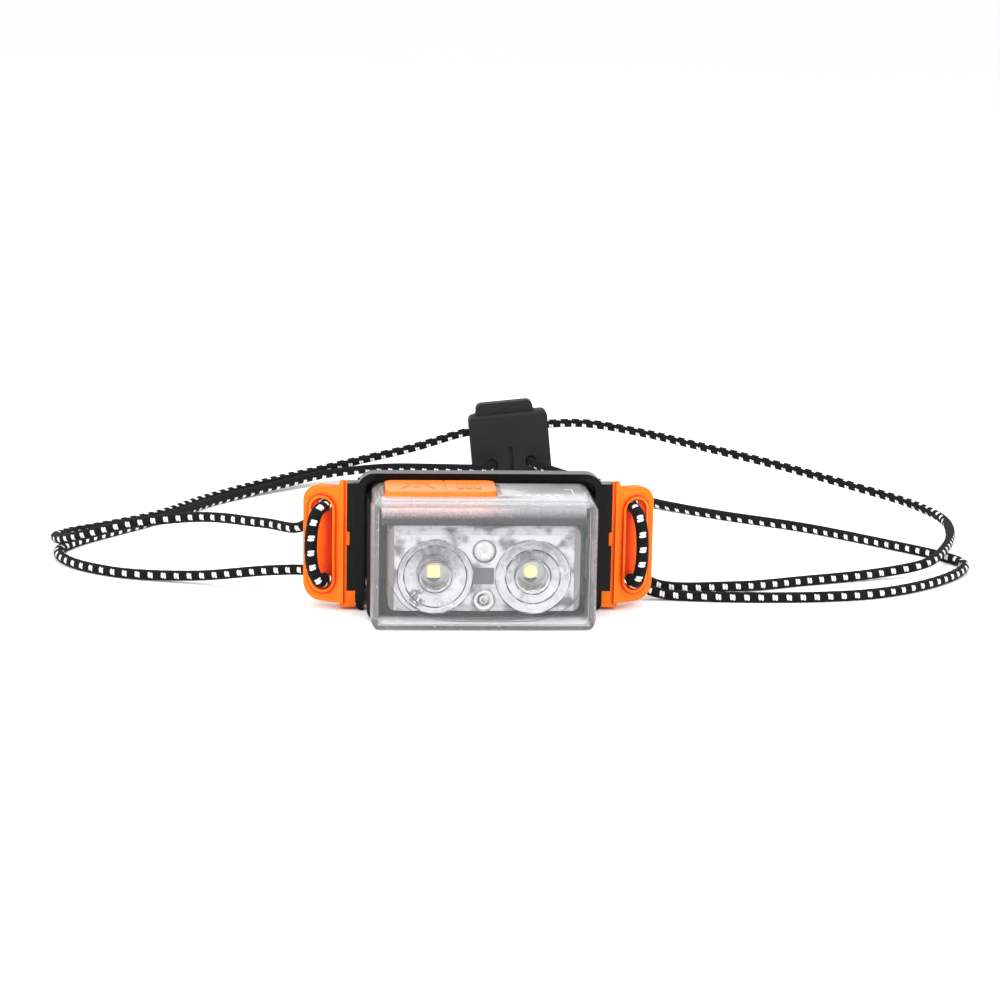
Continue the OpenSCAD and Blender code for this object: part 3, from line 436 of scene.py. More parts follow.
# Place and size of the cluster of painted dark reflections on the lens bowl, broken into facets.
FACET_X = -14.6 * MM
FACET_Z = 6.6 * MM
FACET_REACH = 2.6 * MM
FACET_SCALE = 1700.0
FACET_PAINTED_REFLECTION = (0.09, 0.09, 0.105)
BOWL_PAINTED_LIGHT = (1.0, 1.0, 1.0)
BOWL_PAINTED_SHADE = (0.42, 0.42, 0.44)
STREAK_SCALE = 420.0
STREAK_REACH = 8 * MM


def silver_bowl_painted_light(name, low, high):
    """Silvery bowl of a lens with painted light and shade: dark under its brow, bright at its foot,
    streaked, with painted dark reflections in facets.
    """
    g = Graph(name)
    parts = g.node("ShaderNodeSeparateXYZ", Vector=g.place())
    streak = g.noise(STREAK_SCALE, 4.0, 0.65)
    drop = g.math("ADD", parts.outputs["Z"], g.ramp(streak, -STREAK_REACH, STREAK_REACH, 0.3, 0.7))
    # Painted shade and light: darker high on the bowl, brighter low down, with a streaked edge.
    tone = g.mix(g.ramp(drop, 0.0, 1.0, low, high), rgba(*BOWL_PAINTED_LIGHT), rgba(*BOWL_PAINTED_SHADE))
    cells = g.node("ShaderNodeTexVoronoi", Vector=g.place(), Scale=FACET_SCALE).outputs["Color"]
    across = g.math("ABSOLUTE", g.math("SUBTRACT", parts.outputs["X"], FACET_X))
    upward = g.math("ABSOLUTE", g.math("SUBTRACT", parts.outputs["Z"], FACET_Z))
    beside = g.math("ADD", g.math("POWER", across, 2.0), g.math("POWER", upward, 2.0))
    cluster = g.ramp(beside, 1.0, 0.0, FACET_REACH ** 2 / 4, FACET_REACH ** 2)
    scatter = g.ramp(g.noise(170.0, 2.0), 0.0, 0.4, 0.54, 0.62)
    # Painted dark reflections: one cluster and scattered patches, broken into facets.
    dark_reflection_patches = g.math("MAXIMUM", cluster, scatter)
    dark_reflection = g.math("MULTIPLY", dark_reflection_patches, g.ramp(cells, 0.0, 0.85, 0.62, 0.4))
    g.set(Base_Color=g.mix(dark_reflection, tone, rgba(*FACET_PAINTED_REFLECTION)))
    g.set(Metallic=0.15)
    g.set(Roughness=g.ramp(streak, 0.1, 0.3, 0.3, 0.7))
    g.bump(streak, 0.4, 0.4 * MM)
    return g.material


def lens_edge_painted_shade(name):
    """Edge of a lens in painted shade: dark, with painted bright glints here and there."""
    g = Graph(name)
    glint = g.noise(420.0, 2.0)
    dark, bright = rgba(0.035, 0.035, 0.04), rgba(0.75, 0.75, 0.77)
    # Painted shade with painted glints.
    g.set(Base_Color=g.mix(g.ramp(glint, 0.0, 1.0, 0.46, 0.66), dark, bright))
    g.set(Roughness=g.ramp(glint, 0.15, 0.3))
    return g.material


def circuit(name, mask, trace):
    """Circuit board: solder mask with paler traces."""
    g = Graph(name)
    cells = g.node("ShaderNodeTexVoronoi", Vector=g.place(), Scale=700.0)
    lines = g.math("LESS_THAN", cells.outputs["Distance"], 0.25)
    g.set(Base_Color=g.mix(lines, rgba(*mask), rgba(*trace)))
    g.set(Roughness=g.ramp(g.noise(3000.0), 0.35, 0.5))
    return g.material


def phosphor(name):
    g = Graph(name)
    fine = g.noise(6000.0)
    g.set(Base_Color=g.mix(fine, rgba(0.90, 0.82, 0.20), rgba(0.95, 0.90, 0.34)))
    g.set(Roughness=g.ramp(fine, 0.45, 0.6))
    # Painted light: the chip is not switched on, and its glow stands in for light that falls on it.
    g.set(Emission_Color=rgba(1.0, 0.95, 0.45))
    g.set(Emission_Strength=0.4)
    return g.material


def strip_painted_reflection(name, key_reflection_tone, cool, meet, spread, low, high):
    """Milky grainy strip with a painted reflection of the keys, pinkish under them and grey beyond them,
    and painted shade darker towards its foot.
    """
    g = Graph(name)
    parts = g.node("ShaderNodeSeparateXYZ", Vector=g.place())
    share = g.ramp(parts.outputs["X"], 0.0, 1.0, meet - spread, meet + spread)
    fine = g.noise(2600.0, 3.0)
    tone = g.mix(share, rgba(*key_reflection_tone), rgba(*cool))
    grain = g.ramp(fine, -0.5 * MM, 0.5 * MM, 0.3, 0.7)
    rise = g.ramp(g.math("ADD", parts.outputs["Z"], grain), 0.0, 1.0, low, high)
    # Painted shade: darker towards the strip's foot.
    g.set(Base_Color=g.mix(rise, rgba(0.03, 0.03, 0.032), tone))
    g.set(Roughness=g.ramp(fine, 0.35, 0.55, 0.3, 0.7))
    return g.material


LOOP_ACROSS = 0.8 * MM
LOOP_UP = 0.55 * MM


def knit(name):
    """Soft dark knit over foam: rows of small loops."""
    g = Graph(name)
    parts = g.node("ShaderNodeSeparateXYZ", Vector=g.place())
    across = g.math("SINE", g.math("MULTIPLY", parts.outputs["X"], 2 * math.pi / LOOP_ACROSS))
    upward = g.math("SINE", g.math("MULTIPLY", parts.outputs["Z"], 2 * math.pi / LOOP_UP))
    loops = g.math("MULTIPLY_ADD", g.math("MULTIPLY", across, upward), 0.5, 0.5)
    fray = g.noise(4000.0, 3.0)
    dark, light = rgba(0.012, 0.012, 0.013), rgba(0.07, 0.07, 0.075)
    g.set(Base_Color=g.mix(g.math("MULTIPLY", loops, fray), dark, light))
    g.set(Roughness=g.ramp(fray, 0.8, 0.95, 0.3, 0.7))
    g.set(Sheen_Weight=0.25)
    g.bump(g.math("ADD", loops, g.math("MULTIPLY", fray, 0.3)), 0.6, 0.12 * MM)
    return g.material


def foam(name):
    """Soft closed-cell foam: dark, dull, with fine pores."""
    g = Graph(name)
    pores = g.node("ShaderNodeTexVoronoi", Vector=g.place(), Scale=2500.0)
    depth = pores.outputs["Distance"]
    dark, light = rgba(0.02, 0.02, 0.022), rgba(0.055, 0.055, 0.06)
    g.set(Base_Color=g.mix(g.ramp(depth, 0.0, 1.0, 0.0, 0.6), dark, light))
    g.set(Roughness=g.ramp(depth, 0.95, 0.8, 0.0, 0.6))
    g.set(Sheen_Weight=0.3)
    g.bump(depth, 0.6, 0.15 * MM)
    return g.material


DASH_PITCH = 3.2 * MM
DASH_TURNS = (0.0, -0.33)
STROKE_GAP = 0.096
STROKE_HALF = 0.086
STROKE_REACH = 0.092
STROKE_SLANT = 0.18
STROKE_SHIFT = 0.007
THREADS_ROUND = 4
THREADS_ALONG = 7.0
BLACK_DEEP = (0.001, 0.001, 0.0011)
BLACK_LIT = (0.016, 0.016, 0.0175)


def wrapped(g, value):
    """value folded into -0.5 to 0.5"""
    return g.math("SUBTRACT", g.math("FRACT", g.math("ADD", value, 0.5)), 0.5)


def dash_stroke(g, along, around, shift, turn):
    """Mask of one row of short strokes across the cord, with rounded ends and a slight slant."""
    dv = wrapped(g, g.math("SUBTRACT", around, turn))
    lean = g.math("MULTIPLY", dv, STROKE_SLANT)
    du = g.math("ABSOLUTE", wrapped(g, g.math("SUBTRACT", g.math("SUBTRACT", along, shift), lean)))
    end = g.math("POWER", g.math("DIVIDE", g.math("ABSOLUTE", dv), STROKE_REACH), 4.0)
    body = g.math("POWER", g.math("DIVIDE", du, STROKE_HALF), 3.0)
    return g.ramp(g.math("ADD", end, body), 1.0, 0.0, 0.75, 1.15)


def braid(name):
    """Black braided sheath with rows of paired white strokes; u counts pitches, v goes once round."""
    g = Graph(name)
    uv = g.node("ShaderNodeUVMap")
    parts = g.node("ShaderNodeSeparateXYZ", Vector=uv.outputs[0])
    along, around = parts.outputs["X"], parts.outputs["Y"]
    white = 0.0
    for turn in DASH_TURNS:
        for side in (-1, 1):
            mask = dash_stroke(g, along, around, turn + side * STROKE_GAP, turn + side * STROKE_SHIFT)
            white = g.math("MAXIMUM", white, mask)
    turns = g.math("MULTIPLY", around, float(THREADS_ROUND))
    steps = g.math("MULTIPLY", along, THREADS_ALONG)
    one = g.math("SINE", g.math("MULTIPLY", g.math("ADD", turns, steps), 2 * math.pi))
    two = g.math("SINE", g.math("MULTIPLY", g.math("SUBTRACT", turns, steps), 2 * math.pi))
    weave = g.math("MULTIPLY_ADD", g.math("MAXIMUM", one, two), 0.5, 0.5)
    fray = g.noise(5000.0, 4.0)
    black = g.mix(g.math("MULTIPLY", weave, fray), rgba(*BLACK_DEEP), rgba(*BLACK_LIT))
    pale = g.mix(fray, rgba(0.78, 0.78, 0.77), rgba(0.97, 0.97, 0.96))
    g.set(Base_Color=g.mix(white, black, pale))
    g.set(Roughness=g.ramp(fray, 0.7, 0.9, 0.3, 0.7))
    g.set(Specular_IOR_Level=0.1)
    g.set(Sheen_Weight=0.012)
    g.bump(g.math("ADD", weave, g.math("MULTIPLY", white, 0.4)), 0.8, 0.16 * MM)
    return g.material


# The deepest orange is painted shade for the hollows of the orange plastic.
ORANGE_PAINTED_SHADE = (0.74, 0.034, 0.0006)
ORANGE_DARK = (0.93, 0.165, 0.005)
ORANGE_LIGHT = (0.96, 0.200, 0.007)
KEY_ORANGE = (0.95, 0.185, 0.012)
MARK_ORANGE = (0.90, 0.125, 0.004)
CLEAR_PASS = (0.93, 0.93, 0.94)
MAT = {
    "orange_plastic": orange_painted_hollow_shade(
        "orange_plastic", ORANGE_PAINTED_SHADE, ORANGE_DARK, ORANGE_LIGHT, 0.5, 6 * MM
    ),
    "key_orange": moulded(
        "key_orange", KEY_ORANGE, [1.04 * c for c in KEY_ORANGE], 0.34, specular=0.4
    ),
    "orange_mark": moulded(
        "orange_mark", MARK_ORANGE, [1.05 * c for c in MARK_ORANGE], 0.45, specular=0.3
    ),
    "black_plastic": moulded(
        "black_plastic", (0.0028, 0.0028, 0.003), (0.005, 0.0049, 0.0049), 0.2, specular=0.12
    ),
    "plate_plastic": moulded(
        "plate_plastic", (0.008, 0.008, 0.0083), (0.012, 0.012, 0.012), 0.6, specular=0.2
    ),
    "housing_plastic": moulded(
        "housing_plastic", (0.004, 0.0037, 0.0037), (0.008, 0.0075, 0.0075), 0.25, specular=0.2
    ),
    "clear_shell": frosted_plastic(
        "clear_shell", (0.50, 0.50, 0.515), (0.57, 0.57, 0.585), 0.2, 0.8, CLEAR_PASS, 0.1
    ),
    # Roof and underside: a lighter, milkier copy of the frosted wall plastic; partly real frost, partly
    # a painted highlight for the sheen the roof catches.
    "shell_roof_painted_light": frosted_plastic(
        "shell_roof_painted_light", (0.60, 0.595, 0.60), (0.66, 0.655, 0.66), 0.16, 0.62, CLEAR_PASS, 0.03
    ),
    "shell_front": window_plastic("shell_front", (0.97, 0.97, 0.975), CLEAR_PASS),
    "lens": clear_plastic("lens", (0.985, 0.99, 0.995), (0.95, 0.95, 0.96)),
    "lens_cup": silver_bowl_painted_light("lens_cup", 10 * MM, 21 * MM),
    "lens_edge_painted_shade": lens_edge_painted_shade("lens_edge_painted_shade"),
    "reflector": silvered("reflector", (0.115, 0.115, 0.12), (0.50, 0.50, 0.515), 230.0, 0.06, 0.05),
    "tray_side": moulded("tray_side", (0.20, 0.185, 0.175), (0.29, 0.268, 0.255), 0.45),
    "sensor_dark": moulded("sensor_dark", (0.062, 0.056, 0.056), (0.098, 0.089, 0.089), 0.35),
    # Painted shade: the dark crescent under each chip.
    "chip_painted_shade": moulded(
        "chip_painted_shade", (0.006, 0.006, 0.006), (0.012, 0.012, 0.012), 0.4, specular=0.2
    ),
    "led": phosphor("led"),
    "white_board": circuit("white_board", (0.80, 0.80, 0.78), (0.70, 0.70, 0.66)),
    "ceramic": moulded("ceramic", (0.90, 0.90, 0.88), (0.97, 0.97, 0.96), 0.4),
    "board": circuit("board", (0.010, 0.030, 0.020), (0.03, 0.07, 0.045)),
    "dark_board": circuit("dark_board", (0.018, 0.018, 0.019), (0.05, 0.05, 0.052)),
    "battery_foil": metal("battery_foil", (0.62, 0.63, 0.66), 0.35),
    "steel": metal("steel", (0.66, 0.66, 0.68), 0.28),
    "dark_steel": metal("dark_steel", (0.03, 0.03, 0.032), 0.4),
    "rubber": moulded("rubber", (0.012, 0.012, 0.013), (0.020, 0.020, 0.021), 0.72, specular=0.25),
    "foam": foam("foam"),
    "knit": knit("knit"),
    "cord_braid": braid("cord_braid"),
    "light_guide": frosted_plastic(
        "light_guide", (0.90, 0.89, 0.88), (0.96, 0.95, 0.94), 0.22, 0.45, (0.85, 0.85, 0.84), 0.05
    ),
    "mark_white": moulded("mark_white", (0.50, 0.50, 0.49), (0.60, 0.60, 0.59), 0.5),
    "line_grey": moulded("line_grey", (0.07, 0.07, 0.073), (0.12, 0.12, 0.124), 0.3),
    # Painted reflection of the keys and painted shade, on a strip behind the front.
    "painted_reflection_strip": strip_painted_reflection(
        "painted_reflection_strip", (0.86, 0.61, 0.58), (0.42, 0.415, 0.42), 3.6 * MM, 5 * MM, 24.1 * MM, 26.3 * MM
    ),
}
SLOT_OF = {part["node"]: part["material_slot"] for part in frame["record"]["subparts"]}
LOOK_OF = {"small_leds": "ceramic", "friction_washers": "dark_steel", "tilt_pins": "dark_steel"}


def dress_nodes():
    """Every CAD node takes the material of its slot in the record, or its own look."""
    for node, slot in SLOT_OF.items():
        mesh = nodes[node].data
        mesh.materials.clear()
        mesh.materials.append(MAT[LOOK_OF.get(node, slot)])


# Cord: the route's points as in the CAD, in millimetres

CORD_D = 2.4 * MM
CORD_STEP = 0.7
CORD_SIDES = 16
CORD_EASE = 8
ROW_NEAR = 60
ROW_FAR = 120
ROW_EASE = 12
ROW_RISE = 0.15
ROW_FALL = 0.8
CAP_UV = (0.5, 0.17)
EAR_HOLE_Y = 5.6
EAR_SWELL_RUN = 3.5
EAR_SWELL = 0.15
LEFT_ROUTE = [
    (12.2, 160.5, 4.5), (12.2, 154, 4.5), (9.4, 148.8, 4.6), (-3, 148, 4.8), (-18, 150, 4.4),
    (-34, 147.4, 3.1), (-46, 138.5, 2), (-63, 120, 1.2), (-71, 105.5, 1.2), (-79, 92, 1.2),
    (-88, 79.5, 1.2), (-94.8, 69, 1.2), (-98, 58.5, 1.2), (-93.5, 46.5, 1.2), (-82, 36.5, 1.2),
    (-64, 30, 2), (-47, 22.6, 5), (-38, 17, 6.4), (-34.6, 12.8, 6.5), (-34.2, 9.8, 6.5),
    (-34.2, 6.2, 6.5), (-35.6, 1.8, 7.4), (-37, 0.7, 11), (-37, 0.7, 19.8), (-35.8, 2.2, 23.3),
    (-34.2, 6.2, 23.3), (-34.2, 9.8, 23.3),
    (-35.2, 13.4, 21.2), (-39.2, 16.2, 16.6), (-48, 27, 15.1), (-63, 39.5, 13.8), (-80, 45.5, 10.8),
    (-90, 50.2, 7.4), (-97, 58, 4.4), (-99.6, 67, 3), (-97.4, 76, 2.1), (-91, 85, 1.5),
    (-77.5, 101, 1.2), (-65.5, 121.5, 1.5), (-48, 140.4, 2.7), (-36.5, 149.2, 3.8),
    (-26, 152.8, 5.7), (-9.5, 154.5, 9.4), (5.4, 157.5, 13.3), (16.6, 157.5, 14.5),
]
RIGHT_ROUTE = [
    (16.6, 157.5, 14.5),
    (27.8, 157.5, 15.7), (38, 158.2, 15.8), (53, 152.6, 14.3), (70, 140.6, 12.2),
    (88, 129.2, 9.6), (106, 115.5, 6.6), (118, 103, 4.8), (123.3, 87.5, 4), (121.8, 71, 3.8),
    (116, 52.5, 3.8), (108, 39.2, 3), (96, 35.5, 1.6), (78, 29.6, 1.2), (60, 22.5, 1.5),
    (40.5, 19.2, 3), (36.4, 18, 7.4), (34.2, 13.6, 20.6), (34.2, 9.8, 23.3),
    (34.2, 6.2, 23.3), (34.9, 2, 22.6), (35.6, 0.7, 19), (35.6, 0.7, 11), (34.8, 2.2, 7.2),
    (34.2, 6.2, 6.5), (34.2, 9.8, 6.5),
    (34.6, 13, 5.8), (36.8, 15.2, 3.6), (41.5, 15.4, 1.6), (52, 13.8, 1.2), (63, 13, 1.2),
    (78, 13.6, 1.2), (92, 17, 1.2), (106, 26.3, 1.2), (116.6, 39, 1.2), (119.6, 48, 1.2),
    (116, 56, 1.2), (104, 71, 1.2), (88, 88.5, 1.2), (69, 103.3, 1.2), (51, 119.5, 1.7),
    (33, 139.5, 4.2), (24.6, 149.2, 5.4), (23, 154, 5.6), (23, 160.5, 5.6),
]


def smooth_route(points, step):
    """Points every step along a smooth curve through the given ones."""
    p = np.array(points, float)
    p = np.vstack([2 * p[0] - p[1], p, 2 * p[-1] - p[-2]])
    fine = []
    for a, b, c, d in zip(p, p[1:], p[2:], p[3:]):
        t1 = np.linalg.norm(b - a) ** 0.5
        t2 = t1 + np.linalg.norm(c - b) ** 0.5
        t3 = t2 + np.linalg.norm(d - c) ** 0.5
        for t in np.linspace(t1, t2, 24, endpoint=False):
            ab = a + (b - a) * t / t1
            bc = b + (c - b) * (t - t1) / (t2 - t1)
            cd = c + (d - c) * (t - t2) / (t3 - t2)
            abc = ab + (bc - ab) * t / t2
            bcd = bc + (cd - bc) * (t - t1) / (t3 - t1)
            fine.append(abc + (bcd - abc) * (t - t1) / (t2 - t1))
    fine = np.array(fine + [p[-2]])
    run = np.concatenate([[0], np.cumsum(np.linalg.norm(np.diff(fine, axis=0), axis=1))])
    at = np.linspace(0, run[-1], max(int(run[-1] / step), 2) + 1)
    return np.stack([np.interp(at, run, fine[:, k]) for k in range(3)], axis=1)


def eased(path, rounds):
    """The same path with its tight spots drawn a little wider, its ends kept."""
    for _ in range(rounds):
        path = np.vstack([path[:1], (path[:-2] + 2 * path[1:-1] + path[2:]) / 4, path[-1:]])
    return path


def carried_sides(path):
    """For each point of a path its direction and two side vectors, carried along without twist."""
    way = np.gradient(path, axis=0)
    way /= np.linalg.norm(way, axis=1)[:, None]
    side = np.array([0.0, 0.0, 1.0])
    rows = []
    for d in way:
        side = side - side.dot(d) * d
        side /= np.linalg.norm(side)
        rows.append((side, np.cross(d, side)))
    return rows


def row_turns(path):
    """Share of a turn at which the first row of dashes lies: in front, and lower at the far side."""
    far = np.clip((path[:, 1] / MM - ROW_NEAR) / (ROW_FAR - ROW_NEAR), 0, 1)
    aim = np.stack([np.zeros(len(path)), -np.ones(len(path)), ROW_RISE - ROW_FALL * far], axis=1)
    sides = carried_sides(path)
    one = np.array([a.dot(s) for a, (s, t) in zip(aim, sides)])
    two = np.array([a.dot(t) for a, (s, t) in zip(aim, sides)])
    reach = int(ROW_EASE / CORD_STEP)
    window = np.hanning(2 * reach + 1)
    one, two = (np.convolve(np.pad(v, reach, mode="edge"), window, mode="valid") for v in (one, two))
    return np.unwrap(np.arctan2(two, one)) / (2 * math.pi)


def tube(name, path, radius, sides, material, start=0.0, turns=0.0):
    """Closed tube along a path in metres, with u in dash pitches and v once round from turns."""
    points, faces, uvs = [], [], []
    run = np.concatenate([[0], np.cumsum(np.linalg.norm(np.diff(path, axis=0), axis=1))])
    radii = np.broadcast_to(radius, len(path))
    turns = np.broadcast_to(turns, len(path))
    for centre, r, (s, t) in zip(path, radii, carried_sides(path)):
        for k in range(sides):
            a = 2 * math.pi * k / sides
            points.append(centre + r * (math.cos(a) * s + math.sin(a) * t))
    for i in range(len(path) - 1):
        for k in range(sides):
            j = (k + 1) % sides
            faces.append((i * sides + k, i * sides + j, (i + 1) * sides + j, (i + 1) * sides + k))
            for row, step in ((i, k), (i, k + 1), (i + 1, k + 1), (i + 1, k)):
                uvs.append(((start + run[row]) / DASH_PITCH, step / sides - turns[row]))
    last = (len(path) - 1) * sides
    faces.append(tuple(reversed(range(sides))))
    faces.append(tuple(range(last, last + sides)))
    uvs += [CAP_UV] * (2 * sides)
    mesh = bpy.data.meshes.new(name)
    mesh.from_pydata([tuple(p) for p in points], [], faces)
    layer = mesh.uv_layers.new(name="UVMap")
    for entry, uv in zip(layer.data, uvs):
        entry.uv = uv
    mesh.update()
    return add_object(name, mesh, material, sharp=60)


def length_of(path):
    return float(np.linalg.norm(np.diff(path, axis=0), axis=1).sum())


KNOT_SIZE = 0.78
KNOT_TAIL = 3.6
KNOT_GAP = 1.15
KNOT_POINTS = 110
KNOT_START = 0.25
KNOT_TAIL_POINTS = 8
KNOT_DROOP = (0, 0.35, 0.25)
KNOT_SHRINK = 0.98


def make_knot(name, cord_end):
    """Overhand knot drawn tight against the back of the rear plate, with a short tail."""
    centre = Vector(cord_end) + Vector((0, KNOT_SIZE + KNOT_GAP, 0))
    path = []
    for a in np.linspace(KNOT_START, 2 * math.pi + KNOT_START, KNOT_POINTS):
        x = math.sin(a) + 2 * math.sin(2 * a)
        z = math.cos(a) - 2 * math.cos(2 * a)
        y = -math.sin(3 * a)
        path.append(np.array(centre) + KNOT_SIZE * np.array((x, y, z)))
    last = path[-1]
    way = last - path[-2]
    way = way / np.linalg.norm(way)
    droop = np.array(KNOT_DROOP)
    for k in range(1, KNOT_TAIL_POINTS + 1):
        share = k / KNOT_TAIL_POINTS
        path.append(last + KNOT_TAIL * share * way + droop * KNOT_TAIL * share ** 2)
    radius = CORD_D / 2 * KNOT_SHRINK
    return tube(name, np.array(path) * MM, radius, CORD_SIDES, MAT["cord_braid"])


def slack_radius(path):
    """Radius along the cord: a little more where it lies slack across an ear."""
    slack = np.clip((EAR_HOLE_Y * MM - path[:, 1]) / (EAR_SWELL_RUN * MM), 0, 1)
    return CORD_D / 2 * (1 + EAR_SWELL * slack * slack * (3 - 2 * slack))


def make_cords():
    """The elastic cord's two halves, the plate that holds them and the knots behind it."""
    ends = (LEFT_ROUTE[0], RIGHT_ROUTE[-1])
    knots = [make_knot(f"{side}_knot", end) for side, end in zip(("left", "right"), ends)]
    for knot in knots:
        as_piece(knot, "bracket", "cord_braid", "cord_knots")
    plate = rounded_piece("rear_plate", "bracket", 0.25, material=MAT["plate_plastic"])
    floor_gap = CORD_D / 2 / MM
    start = 0.0
    for side, route in (("left", LEFT_ROUTE), ("right", RIGHT_ROUTE)):
        path = eased(smooth_route(route, CORD_STEP), CORD_EASE)
        path[:, 2] = np.maximum(path[:, 2], floor_gap)
        path = path * MM
        radii = slack_radius(path)
        turns = row_turns(path)
        obj = tube(side + "_cord", path, radii, CORD_SIDES, MAT["cord_braid"], start, turns)
        start += length_of(path)
        stretches = [f"{side}_{part}_cord" for part in ("lower", "ear", "upper")]
        as_piece(obj, "bracket", "cord_braid", *stretches)


# Forehead pad

PAD_ROWS = 28
PAD_COLUMNS = 72
PAD_CORNER = 4.0
PAD_PULL = 0.5
PAD_CELLS = 3
PAD_GROOVE = 0.45
PAD_GROOVE_WIDTH = 0.9
PAD_CROWN = (2.6, 0.55)
PAD_RIM = (0.12, 0.88)
PAD_TUCK = 0.02


def pad_edge(angle, half_w, half_h):
    """Edge of the pad at an angle: a rounded rectangle whose sides pull in between the corners."""
    c, s = math.cos(angle), math.sin(angle)
    inner_w, inner_h = half_w - PAD_CORNER, half_h - PAD_CORNER
    x = max(-inner_w, min(inner_w, c * (half_w + half_h))) + PAD_CORNER * c
    z = max(-inner_h, min(inner_h, s * (half_w + half_h))) + PAD_CORNER * s
    pull_x = PAD_PULL * (1 - (z / half_h) ** 2) * abs(c)
    pull_z = PAD_PULL * (1 - (x / half_w) ** 2) * abs(s)
    return x - math.copysign(pull_x, c), z - math.copysign(pull_z, s)


def pad_height(x, share, half_w):
    """Height of the crown, with sewn channels between the cells."""
    crown = (1 - share ** PAD_CROWN[0]) ** PAD_CROWN[1]
    cell = (x / half_w + 1) / 2 * PAD_CELLS
    off = abs(cell - round(cell)) * 2 * half_w / PAD_CELLS
    inside = 0 < round(cell) < PAD_CELLS
    groove = PAD_GROOVE * math.exp(-((off / PAD_GROOVE_WIDTH) ** 2)) if inside else 0.0
    return crown * (1 - groove)


def make_pad():
    """Crowned pad in rings from its middle to its rim, with a flat back."""
    low, high = (Vector(v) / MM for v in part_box("forehead_pad"))
    middle = (low + high) / 2
    half_w, half_h, thick = (high.x - low.x) / 2, (high.z - low.z) / 2, high.y - low.y
    rings = []
    for row in range(PAD_ROWS + 1):
        share = row / PAD_ROWS
        ring = []
        for k in range(PAD_COLUMNS):
            x, z = pad_edge(2 * math.pi * k / PAD_COLUMNS, half_w, half_h)
            x, z = x * share, z * share
            rise = PAD_RIM[0] + PAD_RIM[1] * pad_height(x, share, half_w)
            ring.append((middle.x + x, low.y + thick * rise, middle.z + z))
        rings.append(ring)
    points = [rings[0][0]]
    for ring in rings[1:]:
        points += ring
    for x, _, z in rings[-1]:
        points.append((x + (middle.x - x) * PAD_TUCK, low.y, z + (middle.z - z) * PAD_TUCK))
    count = PAD_COLUMNS
    faces = [(0, 1 + k, 1 + (k + 1) % count) for k in range(count)]
    for row in range(PAD_ROWS):
        a, b = 1 + row * count, 1 + (row + 1) * count
        faces += [(a + k, b + k, b + (k + 1) % count, a + (k + 1) % count) for k in range(count)]
    faces.append(tuple(range(1 + PAD_ROWS * count, 1 + (PAD_ROWS + 1) * count)))
    mesh = mesh_from("pad", [Vector(p) * MM for p in points], faces)
    obj = add_object("forehead_pad_cushion", mesh, MAT["knit"], sharp=70)
    as_piece(obj, "bracket", "foam", "forehead_pad")


# Bracket, frame and housing


def make_body():
    """Rigid bodies as in the CAD, with their edges rounded."""
    rounded_piece("bracket", "bracket", 0.3)
    rounded_piece("frame", "bracket", 0.28)
    rounded_piece("rear_housing", "lamp", 0.25)
    rounded_piece("port_cover", "port_cover", 0.25)
    rounded_piece("sensor_window", "lamp", 0.12)


def slab(name, low, high, material, edge):
    """Flat plate with rounded edges between two corners, in mm."""
    ground = [(low[0], low[1]), (high[0], low[1]), (high[0], high[1]), (low[0], high[1])]
    corners = [Vector((x, y, z)) * MM for z in (low[2], high[2]) for x, y in ground]
    faces = [(0, 1, 2, 3), (4, 5, 6, 7), (0, 1, 5, 4), (1, 2, 6, 5), (2, 3, 7, 6), (3, 0, 4, 7)]
    obj = add_object(name, mesh_from(name, corners, faces), material, sharp=40)
    round_edges(obj, edge)
    return obj


def circle_outline(x, z, radius, sides=72):
    turns = [2 * math.pi * k / sides for k in range(sides)]
    return [(x + radius * math.cos(a), z + radius * math.sin(a)) for a in turns]


def holed_plate(name, outer, holes, near, far, material):
    """Flat upright plate between two depths, from outlines in X and Z, in mm."""
    work = bmesh.new()
    edges = []
    for outline in [outer, *holes]:
        loop = [work.verts.new(Vector((x, near, z)) * MM) for x, z in outline]
        edges += [work.edges.new(pair) for pair in zip(loop, loop[1:] + loop[:1])]
    filled = bmesh.ops.triangle_fill(work, edges=edges, use_beauty=True)["geom"]
    flat = [f for f in filled if isinstance(f, bmesh.types.BMFace)]
    grown = bmesh.ops.extrude_face_region(work, geom=flat, use_keep_orig=True)["geom"]
    moved = [v for v in grown if isinstance(v, bmesh.types.BMVert)]
    bmesh.ops.translate(work, verts=moved, vec=Vector((0, far - near, 0)) * MM)
    bmesh.ops.recalc_face_normals(work, faces=work.faces)
    mesh = bpy.data.meshes.new(name)
    work.to_mesh(mesh)
    work.free()
    return add_object(name, mesh, material, sharp=40)


LINER_X = 27
LINER_CHEEK_X = 25.05
LINER_FOOT = 1
LINER_LOW = 6.8
LINER_TOP = 29.3
LINER_Y = (9.0, 9.15)


def make_backing():
    """Thin black liner on the bracket behind the lamp, with a cheek down each leg of the frame."""
    right = [
        (LINER_CHEEK_X, LINER_LOW), (LINER_CHEEK_X, LINER_FOOT), (LINER_X, LINER_FOOT),
        (LINER_X, LINER_TOP),
    ]
    outline = right + [(-x, z) for x, z in reversed(right)]
    obj = holed_plate("frame_liner", outline, [], *LINER_Y, MAT["black_plastic"])
    as_piece(obj, "bracket", "black_plastic")


FRONT_Y = -14.5
SHELL_WALL = 1.6
ROOF_TOP = 28.8
MID_Z = ROOF_TOP / 2
FLAT_ENOUGH = 0.98
WALL_SPARE = 0.1


